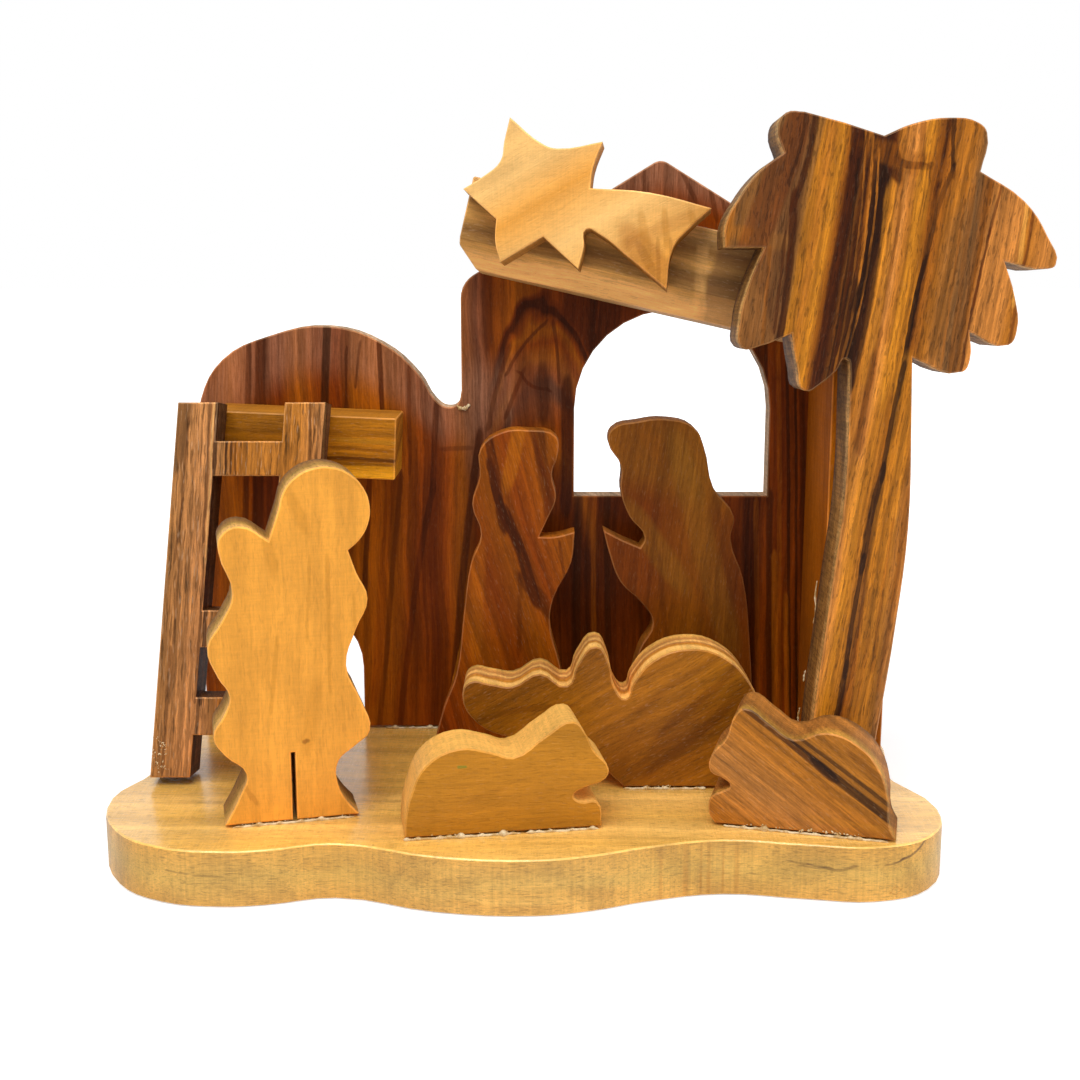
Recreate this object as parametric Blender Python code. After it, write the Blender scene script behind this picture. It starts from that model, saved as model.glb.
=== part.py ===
"""Olive wood nativity scene: sawn flat pieces glued upright on a scalloped base.

World frame in metres: +X to the right, +Y to the back, +Z up, origin in the middle of the base's underside.
Outlines are drawn in millimetres in the piece's own plane, x to the right and z up from its foot.
"""

import math

import bmesh
import bpy
from mathutils import Matrix, Vector

MM = 0.001

# Joints and arrises.
GLUE = 0.3  # film of glue between two pieces
ARRIS = 0.16  # sanded-off edge of every sawn face
CURVE_STEPS = 4  # straight runs between two points of a smooth outline
ARC_STEP = 12.0  # degrees of turn for each run of an arc

# Base.
BASE_THICKNESS = 6.0
BASE_DEPTH = 46.9
BASE_HALF_LENGTH = 45.1
BASE_FRONT = BASE_DEPTH * 0.499
BASE_BACK = BASE_DEPTH - BASE_FRONT

# Back wall: a dome on the left and a gabled house front on the right.
WALL_FRONT_Y = 17.5
WALL_THICKNESS = 3.5
DOME_LEFT = -40.0
DOME_TOP = 50.1
VALLEY_HEIGHT = 40.4
HOUSE_LEFT = -7.4
HOUSE_RIGHT = 40.0
HOUSE_EAVES = 55.2
HOUSE_RISE = 14.4
SHOULDER_RADIUS = 3.2
PEAK_RADIUS = 1.6
WINDOW_X = 18.1
WINDOW_WIDTH = 23.7
WINDOW_SILL = 29.5
WINDOW_SPRING = 40.2
DOOR_X = -27.8
DOOR_WIDTH = 15.5
DOOR_SPRING = 7.8

# Side post, edge-on between the wall and the palm.
POST_LEFT = 34.5
POST_WIDTH = 7.3
POST_DEPTH = 14.2

# Roof bar across the house, and the star on its face.
BAR_LENGTH = 49.0
BAR_HEIGHT = 9.9
BAR_DEPTH = 7.0
BAR_CHAMFER = 2.9
BAR_LEFT_X = -6.2
BAR_LEFT_Z = 62.0
BAR_SLOPE = math.radians(12.5)
BAR_TURN = math.radians(-5.8)
BAR_LEAN = math.radians(7.0)
BAR_NIPPED_CORNER = 2.2
STAR_SPAN = 27.2
STAR_THICKNESS = 4.0
STAR_X = 2.1
STAR_Z = 64.0

# Palm tree, leaning a little back on the side post.
PALM_X = 29.1
PALM_HEIGHT = 72.7
PALM_THICKNESS = 7.0
PALM_LEAN = math.radians(2.0)

# Cross rail on the dome, and the ladder that leans on it.
RAIL_LENGTH = 21.5
RAIL_HEIGHT = 7.2
RAIL_DEPTH = 8.8
RAIL_RIGHT_X = -14.6
RAIL_RIGHT_Z = 36.4
RAIL_SLOPE = math.radians(2.5)
LADDER_X = -41.8
LADDER_HEIGHT = 42.1
LADDER_WIDTH = 16.4
LADDER_THICKNESS = 5.0
LADDER_RAKE = math.radians(4.9)
LADDER_LEAN = math.radians(8.5)
LADDER_STILE = 4.5
LADDER_FOOT_OPENING = 4.8
LADDER_LOW_RUNG = 4.3
LADDER_SHORT_OPENING = 5.6
LADDER_MIDDLE_RUNG = 4.2
LADDER_LONG_OPENING = 15.0
LADDER_TOP_RUNG = 3.9

# Figures and animals: place of the front left corner of the foot, turn, thickness.
SHEPHERD_AT = (-30.6, -15.4)
SHEPHERD_TURN = math.radians(14.0)
SHEPHERD_HEIGHT = 37.3
SHEPHERD_THICKNESS = 6.2
SHEPHERD_HEAD_RADIUS = 4.65
SHEEP_LEFT_AT = (-11.7, -18.6)
SHEEP_LEFT_TURN = math.radians(9.0)
SHEEP_LEFT_LENGTH = 21.2
SHEEP_LEFT_THICKNESS = 6.5
SHEEP_RIGHT_AT = (20.4, -14.5)
SHEEP_RIGHT_TURN = math.radians(-15.0)
SHEEP_RIGHT_LENGTH = 19.1
SHEEP_RIGHT_THICKNESS = 6.5
DONKEY_AT = (2.1, -3.9)
DONKEY_LENGTH = 34.5
DONKEY_THICKNESS = 6.8
MARY_AT = (2.1, 10.5)
MARY_HEIGHT = 38.4
MARY_THICKNESS = 3.5
JOSEPH_AT = (2.1, 10.5)
JOSEPH_HEIGHT = 39.7
JOSEPH_THICKNESS = 3.5

BASE_TOP = BASE_THICKNESS
FOOT_Z = BASE_TOP + GLUE


def corner(x, z):
    """A sharp corner of a smooth outline."""
    return (x, z, "VECTOR")


def arc(centre, radius, start, end):
    """Points along a circle, from one angle to another in degrees."""
    count = max(2, round(abs(end - start) / ARC_STEP))
    angles = [math.radians(start + (end - start) * i / count) for i in range(count + 1)]
    return [(centre[0] + radius * math.cos(a), centre[1] + radius * math.sin(a)) for a in angles]


def filleted(corners):
    """A polygon of (x, z, radius) corners, each corner rounded by its radius."""
    points = []
    for i, (x, z, radius) in enumerate(corners):
        here = Vector((x, z))
        if radius == 0:
            points.append((x, z))
            continue
        before = (Vector(corners[i - 1][:2]) - here).normalized()
        after = (Vector(corners[(i + 1) % len(corners)][:2]) - here).normalized()
        half = before.angle(after) / 2
        centre = here + (before + after).normalized() * radius / math.sin(half)
        first = here + before * radius / math.tan(half) - centre
        turn = before.angle(after) - math.pi
        if before.cross(after) > 0:
            turn = -turn
        count = max(2, round(abs(math.degrees(turn)) / ARC_STEP))
        for step in range(count + 1):
            spoke = Matrix.Rotation(-turn * step / count, 2) @ first
            points.append(tuple(centre + spoke))
    return points


def base_outline():
    """Three lobes in front, a hollow in each end, and a plain back edge, from shares of the base's size."""
    return [
        (x * BASE_HALF_LENGTH, y * (BASE_FRONT if y < 0 else BASE_BACK), *kind) for x, y, *kind in BASE
    ]


def wall_outline():
    """Dome, valley, gable and the doorway's notch, once round from the house's right foot."""
    peak_x = (HOUSE_LEFT + HOUSE_RIGHT) / 2
    house = filleted(
        [
            (HOUSE_RIGHT, 0, 0),
            (HOUSE_RIGHT, HOUSE_EAVES, SHOULDER_RADIUS),
            (peak_x, HOUSE_EAVES + HOUSE_RISE, PEAK_RADIUS),
            (HOUSE_LEFT, HOUSE_EAVES, SHOULDER_RADIUS),
            (HOUSE_LEFT, VALLEY_HEIGHT + 2, 0),
        ]
    )
    dome = [
        (HOUSE_LEFT - 0.5, VALLEY_HEIGHT + 0.4),
        (HOUSE_LEFT - 1.8, VALLEY_HEIGHT),
        (HOUSE_LEFT - 3.2, VALLEY_HEIGHT + 0.9),
        (-12.5, 44.3),
        (-16.9, 48.1),
        (-23.4, DOME_TOP),
        (-30.6, 48.9),
        (-36.2, 46.1),
        (DOME_LEFT + 1.0, 41.4),
        corner(DOME_LEFT + 0.3, 34.0),
        corner(DOME_LEFT, 0),
    ]
    door = arc((DOOR_X, DOOR_SPRING), DOOR_WIDTH / 2, 180, 0)
    doorway = [(DOOR_X - DOOR_WIDTH / 2, 0), *door, (DOOR_X + DOOR_WIDTH / 2, 0)]
    return corners(house) + dome + corners(doorway)


def corners(points):
    return [corner(x, z) for x, z in points]


def window_outline():
    half = WINDOW_WIDTH / 2
    sill = [(WINDOW_X - half, WINDOW_SILL), (WINDOW_X + half, WINDOW_SILL)]
    return sill + arc((WINDOW_X, WINDOW_SPRING), half, 0, 180)


def ladder_outline():
    """A board with an open notch at each end, its stiles raked to the right and its rungs level."""
    low = LADDER_FOOT_OPENING
    top = ladder_levels()[-1]
    right = LADDER_WIDTH
    inner = right - LADDER_STILE
    square = [
        (0, 0),
        (LADDER_STILE, 0),
        (LADDER_STILE, low),
        (inner, low),
        (inner, 0),
        (right, 0),
        (right, LADDER_HEIGHT),
        (inner, LADDER_HEIGHT),
        (inner, top),
        (LADDER_STILE, top),
        (LADDER_STILE, LADDER_HEIGHT),
        (0, LADDER_HEIGHT),
    ]
    return raked(square)


def ladder_levels():
    """Heights of the rungs' edges, from the foot up."""
    levels = [LADDER_FOOT_OPENING]
    for step in (
        LADDER_LOW_RUNG,
        LADDER_SHORT_OPENING,
        LADDER_MIDDLE_RUNG,
        LADDER_LONG_OPENING,
        LADDER_TOP_RUNG,
    ):
        levels.append(levels[-1] + step)
    return levels


def ladder_hole(low, high):
    inner = LADDER_WIDTH - LADDER_STILE
    return raked([(LADDER_STILE, low), (inner, low), (inner, high), (LADDER_STILE, high)])


def raked(points):
    return [(x + z * math.tan(LADDER_RAKE), z) for x, z in points]


BASE = [
    (0.035, -1),
    (-0.186, -0.962),
    (-0.417, -0.821),
    (-0.572, -0.893),
    (-0.667, -0.91),
    (-0.809, -0.859),
    (-0.929, -0.679),
    (-1, -0.278),
    (-0.949, 0.068),
    (-0.971, 0.404),
    (-0.949, 0.766),
    corner(-0.831, 1),
    corner(0.831, 1),
    (0.949, 0.766),
    (0.971, 0.404),
    (0.929, 0.068),
    (1, -0.406),
    (0.94, -0.735),
    (0.809, -0.859),
    (0.65, -0.833),
    (0.466, -0.782),
    (0.286, -0.859),
    (0.164, -0.949),
]

PALM = [
    corner(2.5, 0),
    (3.1, 9.0),
    (4.5, 22.2),
    (5.7, 33.5),
    corner(5.8, 46.0),
    (5.3, 47.5),
    corner(4.4, 46.3),
    (2.8, 44.9),
    (1.0, 44.1),
    (0.2, 46.4),
    corner(-0.5, 50.1),
    (-3.8, 48.8),
    (-5.7, 48.6),
    (-6.0, 51.3),
    (-5.2, 55.0),
    corner(-3.6, 59.0),
    corner(-7.7, 59.0),
    (-7.7, 61.3),
    (-6.3, 64.1),
    (-4.2, 66.8),
    corner(-1.8, 68.6),
    (-2.5, 71.2),
    (-1.7, 72.6),
    corner(0.2, 72.7),
    corner(4.4, 71.6),
    corner(8.5, 70.3),
    (11.4, 71.5),
    (15.2, 72.1),
    (18.2, 71.6),
    (19.1, 70.6),
    corner(18.6, 66.7),
    (23.3, 63.7),
    (25.9, 60.1),
    (26.9, 57.2),
    (26.1, 56.8),
    corner(21.5, 57.6),
    (22.8, 53.9),
    (23.2, 50.4),
    (22.4, 48.9),
    corner(18.2, 50.3),
    (18.4, 47.4),
    (17.7, 46.1),
    corner(12.3, 47.6),
    (12.5, 41.0),
    (12.6, 29.5),
    (11.7, 19.2),
    (10.0, 6.2),
    corner(9.1, 0),
]

STAR = [
    corner(-3.0, 8.8),
    (0.8, 5.8),
    (2.2, 5.4),
    corner(7.2, 6.1),
    (6.2, 3.4),
    corner(5.9, 1.1),
    (12.4, 0.6),
    corner(19.1, -1.1),
    (16.6, -3.4),
    (15.1, -5.2),
    corner(14.4, -9.8),
    (9.9, -6.1),
    (6.9, -3.8),
    (5.5, -3.3),
    (5.3, -5.2),
    corner(4.7, -7.6),
    corner(0.8, -4.1),
    corner(-3.9, -6.9),
    (-4.5, -4.6),
    corner(-4.4, -2.2),
    corner(-8.1, 1.1),
    (-5.8, 2.5),
    (-4.0, 4.1),
    (-3.6, 6.2),
]

SHEPHERD_HEAD = (11.1, 32.7)
SHEPHERD_BODY = [
    corner(5.4, 30.0),
    (2.5, 31.6),
    (0.6, 30.6),
    (0.4, 29.0),
    (1.6, 24.6),
    (0.4, 21.8),
    (-1.1, 19.2),
    (-0.2, 16.0),
    (0.9, 13.9),
    (0.3, 12.0),
    (-0.9, 9.7),
    (0.2, 7.6),
    (2.3, 5.4),
    (1.6, 3.2),
    corner(-0.1, 0),
    corner(6.9, 0),
    corner(6.9, 7.4),
    corner(7.35, 7.4),
    corner(7.35, 0),
    corner(13.9, 0),
    (12.6, 1.6),
    (11.7, 3.6),
    (11.8, 6.0),
    (13.6, 7.6),
    (15.2, 9.1),
    (14.4, 12.4),
    (12.9, 16.4),
    (14.0, 20.2),
    (15.3, 23.4),
    (14.2, 26.2),
    corner(13.4, 28.6),
]

SHEEP_LEFT = [
    corner(0, 0),
    (0.1, 1.9),
    (0.7, 4.5),
    (2.2, 7.5),
    (5.6, 9.2),
    (9.1, 8.6),
    (11.2, 8.0),
    (14.6, 10.1),
    (17.5, 11.5),
    (18.7, 10.2),
    (19.6, 8.3),
    (21.2, 6.2),
    (20.9, 5.2),
    (18.4, 4.2),
    (17.5, 3.5),
    (18.2, 2.8),
    (20.0, 2.7),
    corner(20.5, 0),
]

SHEEP_RIGHT = [
    corner(0, 0),
    (-0.6, 1.0),
    (-0.4, 2.9),
    (0.8, 3.6),
    (1.5, 4.2),
    (0.8, 4.9),
    (-0.6, 5.6),
    (-0.5, 7.4),
    (0.9, 9.2),
    (1.9, 12.0),
    (2.8, 12.7),
    (5.4, 11.2),
    (7.8, 9.8),
    (11.1, 10.8),
    (14.4, 9.7),
    (16.5, 7.4),
    (17.5, 4.4),
    (17.8, 1.4),
    corner(18.5, 0),
]

DONKEY = [
    corner(9.4, 0),
    (7.9, 1.4),
    (6.2, 3.4),
    (2.0, 4.6),
    (-3.0, 5.6),
    (-7.0, 7.4),
    (-8.6, 10.6),
    (-7.8, 12.1),
    (-5.5, 11.9),
    (-3.1, 11.6),
    (0.0, 13.1),
    (3.0, 11.7),
    (4.1, 14.0),
    (6.2, 16.2),
    (7.6, 14.2),
    (8.3, 11.4),
    (9.5, 10.2),
    (10.3, 11.9),
    (12.4, 14.5),
    (16.4, 15.9),
    (20.4, 14.9),
    (23.2, 12.0),
    (25.2, 7.2),
    (25.9, 2.4),
    corner(25.2, 0),
]

MARY = [
    corner(-12.9, 0),
    (-11.6, 4.8),
    (-10.1, 8.8),
    (-9.1, 16.6),
    (-8.2, 22.6),
    (-7.0, 26.0),
    (-8.0, 29.6),
    (-7.1, 33.0),
    (-7.0, 36.2),
    (-4.6, 38.1),
    (-1.4, 38.4),
    (1.9, 37.6),
    (2.1, 35.7),
    (1.4, 33.2),
    (1.9, 30.4),
    (0.9, 27.9),
    corner(-0.1, 25.7),
    (1.6, 25.7),
    corner(4.1, 26.3),
    (3.7, 22.6),
    (1.6, 18.2),
    (1.2, 15.2),
    (2.4, 10.0),
    corner(4.2, 0),
]

JOSEPH = [
    corner(9.8, 0),
    (10.6, 6.0),
    (12.0, 12.0),
    (13.5, 15.2),
    (12.2, 17.6),
    (9.6, 20.2),
    (8.2, 23.8),
    corner(7.5, 26.5),
    (9.6, 25.4),
    corner(11.9, 24.4),
    (12.4, 25.6),
    (10.6, 28.1),
    (9.5, 31.2),
    (9.5, 34.2),
    (8.0, 36.9),
    (8.4, 38.5),
    (11.4, 39.4),
    (14.6, 39.7),
    (18.0, 38.7),
    (19.2, 36.4),
    (20.4, 31.6),
    (22.9, 28.2),
    (22.6, 25.4),
    (24.2, 20.6),
    (25.2, 13.0),
    corner(26.0, 0),
]


def drawn(outline, length=None, height=None):
    """The outline, scaled so that it is as long or as high as asked."""
    axis, wanted = (0, length) if length else (1, height)
    places = [point[axis] for point in outline]
    scale = wanted / (max(places) - min(places))
    return [(x * scale, z * scale, *kind) for x, z, *kind in outline]


def shepherd_outline():
    """The body's outline, closed at the top by the round head."""
    head = Vector(SHEPHERD_HEAD)
    right = Vector(SHEPHERD_BODY[-1][:2]) - head
    left = Vector(SHEPHERD_BODY[0][:2]) - head
    start = math.degrees(math.atan2(right.y, right.x))
    end = math.degrees(math.atan2(left.y, left.x)) + 360
    inset = 18
    rim = arc(SHEPHERD_HEAD, SHEPHERD_HEAD_RADIUS, start + inset, end - inset)
    return SHEPHERD_BODY + rim[::2]


def collection(name):
    made = bpy.data.collections.new(name)
    bpy.context.scene.collection.children.link(made)
    return made


def wood(name, colour, roughness):
    material = bpy.data.materials.new(name)
    material.use_nodes = True
    shader = material.node_tree.nodes["Principled BSDF"]
    shader.inputs["Base Color"].default_value = (*colour, 1)
    shader.inputs["Roughness"].default_value = roughness
    shader.inputs["Metallic"].default_value = 0
    material.diffuse_color = (*colour, 1)
    return material


def add_spline(curve, points, smooth):
    if not smooth:
        spline = curve.splines.new("POLY")
        spline.points.add(len(points) - 1)
        for point, (x, z) in zip(spline.points, points):
            point.co = (x * MM, z * MM, 0, 1)
    else:
        spline = curve.splines.new("BEZIER")
        spline.bezier_points.add(len(points) - 1)
        for point, (x, z, *kind) in zip(spline.bezier_points, points):
            point.co = (x * MM, z * MM, 0)
            handle = kind[0] if kind else "AUTO"
            point.handle_left_type = handle
            point.handle_right_type = handle
    spline.use_cyclic_u = True


def sawn_board(name, outline, thickness, material, home, holes=(), smooth=True):
    """A mesh cut from board: the outline in local XY, the front face towards local +Z, arrises taken off."""
    curve = bpy.data.curves.new(name + "_outline", "CURVE")
    curve.dimensions = "2D"
    curve.fill_mode = "BOTH"
    curve.resolution_u = CURVE_STEPS
    curve.extrude = (thickness / 2 - ARRIS) * MM
    curve.bevel_depth = ARRIS * MM
    curve.bevel_resolution = 0
    curve.offset = -ARRIS * MM
    add_spline(curve, outline, smooth)
    for hole in holes:
        add_spline(curve, hole, False)
    pattern = bpy.data.objects.new(name + "_pattern", curve)
    bpy.context.scene.collection.objects.link(pattern)
    bpy.context.view_layer.update()
    evaluated = pattern.evaluated_get(bpy.context.evaluated_depsgraph_get())
    mesh = bpy.data.meshes.new_from_object(evaluated)
    bpy.data.objects.remove(pattern)
    bpy.data.curves.remove(curve)
    return finished(name, mesh, material, home)


def finished(name, mesh, material, home):
    """Welds the mesh, turns its faces outwards and shades its round stretches smooth."""
    shape = bmesh.new()
    shape.from_mesh(mesh)
    bmesh.ops.remove_doubles(shape, verts=shape.verts, dist=0.002 * MM)
    bmesh.ops.dissolve_degenerate(shape, edges=shape.edges, dist=0.001 * MM)
    bmesh.ops.recalc_face_normals(shape, faces=shape.faces)
    shape.to_mesh(mesh)
    shape.free()
    mesh.name = name
    mesh.shade_smooth()
    mesh.set_sharp_from_angle(angle=math.radians(28))
    mesh.materials.clear()
    mesh.materials.append(material)
    solid = bpy.data.objects.new(name, mesh)
    home.objects.link(solid)
    return solid


def upright(turn, lean):
    """Rotation that stands a board on its foot, turned about Z and leaning to the back."""
    return Matrix.Rotation(turn, 3, "Z") @ Matrix.Rotation(math.pi / 2 - lean, 3, "X")


def stand(solid, corner_xy, thickness, turn=0.0, lean=0.0):
    """Stands a board on the base with its front face's foot point at corner_xy."""
    turned = upright(turn, lean)
    lift = thickness * math.sin(max(lean, 0))
    foot = Vector((corner_xy[0], corner_xy[1], FOOT_Z + lift))
    centre = foot + turned @ Vector((0, 0, -thickness / 2))
    solid.rotation_euler = turned.to_euler()
    solid.location = centre * MM


def block(name, length, height, depth, material, home, planed=()):
    """A squared stick along local X from 0, its front face towards local +Z.

    planed holds (test, width) pairs: the edges whose ends both pass the test are planed off that wide.
    """
    shape = bmesh.new()
    bmesh.ops.create_cube(shape, size=1)
    bmesh.ops.translate(shape, vec=(0.5, 0, 0), verts=shape.verts)
    bmesh.ops.scale(shape, vec=(length * MM, height * MM, depth * MM), verts=shape.verts)
    for test, width in planed:
        chosen = [edge for edge in shape.edges if all(test(vert.co) for vert in edge.verts)]
        bmesh.ops.bevel(shape, geom=chosen, offset=width * MM, segments=1, affect="EDGES")
    bmesh.ops.bevel(shape, geom=shape.edges[:], offset=ARRIS * MM, segments=1, affect="EDGES")
    mesh = bpy.data.meshes.new(name)
    shape.to_mesh(mesh)
    shape.free()
    return finished(name, mesh, material, home)


def under_front(point):
    return point.y < 0 < point.z


def left_foot(point):
    return point.x < GLUE * MM and point.y < (GLUE - BAR_HEIGHT / 2) * MM


def build():
    for item in list(bpy.data.objects):
        bpy.data.objects.remove(item)
    home = collection("nativity_scene")

    pale = wood("pale_olive", (0.62, 0.40, 0.16), 0.5)
    honey = wood("honey_olive", (0.58, 0.31, 0.08), 0.45)
    brown = wood("brown_olive", (0.34, 0.15, 0.05), 0.5)
    dark = wood("dark_olive", (0.16, 0.06, 0.03), 0.5)

    base = sawn_board("base", base_outline(), BASE_THICKNESS, pale, home)
    base.location = Vector((0, 0, BASE_THICKNESS / 2)) * MM

    wall = sawn_board("back_wall", wall_outline(), WALL_THICKNESS, dark, home, holes=[window_outline()])
    stand(wall, (0, WALL_FRONT_Y), WALL_THICKNESS)

    bar_turned = upright(BAR_TURN, BAR_LEAN) @ Matrix.Rotation(-BAR_SLOPE, 3, "Z")
    planed = [(under_front, BAR_CHAMFER), (left_foot, BAR_NIPPED_CORNER)]
    bar = block("roof_bar", BAR_LENGTH, BAR_HEIGHT, BAR_DEPTH, pale, home, planed)
    rearmost = max(
        (bar_turned @ Vector((0, side * BAR_HEIGHT / 2, -BAR_DEPTH / 2))).y for side in (-1, 1)
    )
    bar_left = Vector((BAR_LEFT_X, WALL_FRONT_Y - GLUE - rearmost, FOOT_Z + BAR_LEFT_Z))
    bar.rotation_euler = bar_turned.to_euler()
    bar.location = bar_left * MM

    def on_bar(along, up, forward):
        return bar_left + bar_turned @ Vector((along, up, forward))

    bar_right_front = on_bar(BAR_LENGTH, -BAR_HEIGHT / 2 + BAR_CHAMFER, BAR_DEPTH / 2)
    under_left = on_bar(0, -BAR_HEIGHT / 2, -BAR_DEPTH / 2)
    under_right = on_bar(BAR_LENGTH, -BAR_HEIGHT / 2, -BAR_DEPTH / 2)

    def bar_underside(x):
        share = (x - under_left.x) / (under_right.x - under_left.x)
        return under_left.z + share * (under_right.z - under_left.z)

    post_front_y = WALL_FRONT_Y - GLUE - POST_DEPTH
    post_right = POST_LEFT + POST_WIDTH
    rise = GLUE / math.cos(BAR_SLOPE) + FOOT_Z
    side = [
        (0, 0),
        (POST_WIDTH, 0),
        (POST_WIDTH, bar_underside(post_right) - rise),
        (0, bar_underside(POST_LEFT) - rise),
    ]
    post = sawn_board("side_post", side, POST_DEPTH, brown, home, smooth=False)
    stand(post, (POST_LEFT, post_front_y), POST_DEPTH)

    star = sawn_board("star", drawn(STAR, length=STAR_SPAN), STAR_THICKNESS, honey, home)
    star_turned = upright(BAR_TURN, BAR_LEAN)
    out_of_face = star_turned @ Vector((0, 0, 1))
    on_face = on_bar(0, 0, BAR_DEPTH / 2)
    star_at = Vector((STAR_X, 0, FOOT_Z + STAR_Z))
    star_at.y = on_face.y - (
        (star_at.x - on_face.x) * out_of_face.x + (star_at.z - on_face.z) * out_of_face.z
    ) / out_of_face.y
    star.rotation_euler = star_turned.to_euler()
    star.location = (star_at + out_of_face * (STAR_THICKNESS / 2 + GLUE)) * MM

    palm = sawn_board("palm_tree", drawn(PALM, height=PALM_HEIGHT), PALM_THICKNESS, honey, home)
    post_height = side[3][1]
    palm_back = min(
        post_front_y - GLUE - post_height * math.tan(PALM_LEAN),
        bar_right_front.y - GLUE - (bar_right_front.z - FOOT_Z) * math.tan(PALM_LEAN),
    )
    palm_y = palm_back - PALM_THICKNESS / math.cos(PALM_LEAN)
    stand(palm, (PALM_X, palm_y), PALM_THICKNESS, lean=PALM_LEAN)

    rail = block("cross_rail", RAIL_LENGTH, RAIL_HEIGHT, RAIL_DEPTH, brown, home)
    rail_front_y = WALL_FRONT_Y - GLUE - RAIL_DEPTH
    rail_turned = upright(0, 0) @ Matrix.Rotation(-RAIL_SLOPE, 3, "Z")
    rail_right = Vector((RAIL_RIGHT_X, rail_front_y + RAIL_DEPTH / 2, FOOT_Z + RAIL_RIGHT_Z))
    rail_left = rail_right - rail_turned @ Vector((RAIL_LENGTH, 0, 0))
    rail.rotation_euler = rail_turned.to_euler()
    rail.location = rail_left * MM
    rail_top = rail_left.z + RAIL_HEIGHT / 2 - FOOT_Z

    levels = ladder_levels()
    holes = [ladder_hole(levels[1], levels[2]), ladder_hole(levels[3], levels[4])]
    ladder = sawn_board(
        "ladder", ladder_outline(), LADDER_THICKNESS, brown, home, holes=holes, smooth=False
    )
    ladder_back = rail_front_y - GLUE - rail_top * math.tan(LADDER_LEAN)
    ladder_y = ladder_back - LADDER_THICKNESS / math.cos(LADDER_LEAN)
    stand(ladder, (LADDER_X, ladder_y), LADDER_THICKNESS, lean=LADDER_LEAN)

    outline = drawn(shepherd_outline(), height=SHEPHERD_HEIGHT)
    shepherd = sawn_board("shepherd", outline, SHEPHERD_THICKNESS, honey, home)
    stand(shepherd, SHEPHERD_AT, SHEPHERD_THICKNESS, turn=SHEPHERD_TURN)
    outline = drawn(SHEEP_LEFT, length=SHEEP_LEFT_LENGTH)
    sheep = sawn_board("sheep_left", outline, SHEEP_LEFT_THICKNESS, honey, home)
    stand(sheep, SHEEP_LEFT_AT, SHEEP_LEFT_THICKNESS, turn=SHEEP_LEFT_TURN)
    outline = drawn(SHEEP_RIGHT, length=SHEEP_RIGHT_LENGTH)
    sheep = sawn_board("sheep_right", outline, SHEEP_RIGHT_THICKNESS, brown, home)
    stand(sheep, SHEEP_RIGHT_AT, SHEEP_RIGHT_THICKNESS, turn=SHEEP_RIGHT_TURN)
    donkey = sawn_board("donkey", drawn(DONKEY, length=DONKEY_LENGTH), DONKEY_THICKNESS, brown, home)
    stand(donkey, DONKEY_AT, DONKEY_THICKNESS)
    mary = sawn_board("mary", drawn(MARY, height=MARY_HEIGHT), MARY_THICKNESS, brown, home)
    stand(mary, MARY_AT, MARY_THICKNESS)
    joseph = sawn_board("joseph", drawn(JOSEPH, height=JOSEPH_HEIGHT), JOSEPH_THICKNESS, brown, home)
    stand(joseph, JOSEPH_AT, JOSEPH_THICKNESS)


build()
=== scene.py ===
"""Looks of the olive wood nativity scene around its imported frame: sawn edges, wood figure, glue and stage.

Each sawn board keeps its CAD outline. Its own coordinates are in millimetres: u across the board, v up it
from the foot, and w out of its front face. The figure of the wood is worked out in those coordinates.
"""

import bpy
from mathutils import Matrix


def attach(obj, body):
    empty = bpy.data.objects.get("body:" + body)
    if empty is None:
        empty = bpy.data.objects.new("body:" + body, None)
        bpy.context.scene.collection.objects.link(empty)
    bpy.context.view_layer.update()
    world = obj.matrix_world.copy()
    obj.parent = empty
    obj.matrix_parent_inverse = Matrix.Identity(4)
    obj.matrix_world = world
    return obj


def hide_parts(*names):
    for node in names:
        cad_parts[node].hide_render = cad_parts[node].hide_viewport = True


bl_info = {
    "name": "Olive wood nativity scene",
    "version": (1, 0, 0),
    "blender": (4, 5, 0),
    "location": "View3D > Sidebar > Nativity",
    "description": "Finishes the sawn pieces in olive wood, lays the squeezed-out glue and sets the stage",
    "category": "Object",
}

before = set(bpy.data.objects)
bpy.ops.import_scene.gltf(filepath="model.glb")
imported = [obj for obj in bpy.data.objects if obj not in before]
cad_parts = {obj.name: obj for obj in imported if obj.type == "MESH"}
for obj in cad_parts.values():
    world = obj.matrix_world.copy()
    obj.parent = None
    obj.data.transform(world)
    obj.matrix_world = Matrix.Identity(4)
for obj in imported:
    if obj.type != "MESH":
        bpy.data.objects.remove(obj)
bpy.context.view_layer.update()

import math

import bmesh
import bpy
import numpy as np
from bpy.props import FloatProperty, FloatVectorProperty, PointerProperty
from mathutils import Euler, Vector

MM = 0.001
BODY = "root"

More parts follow.
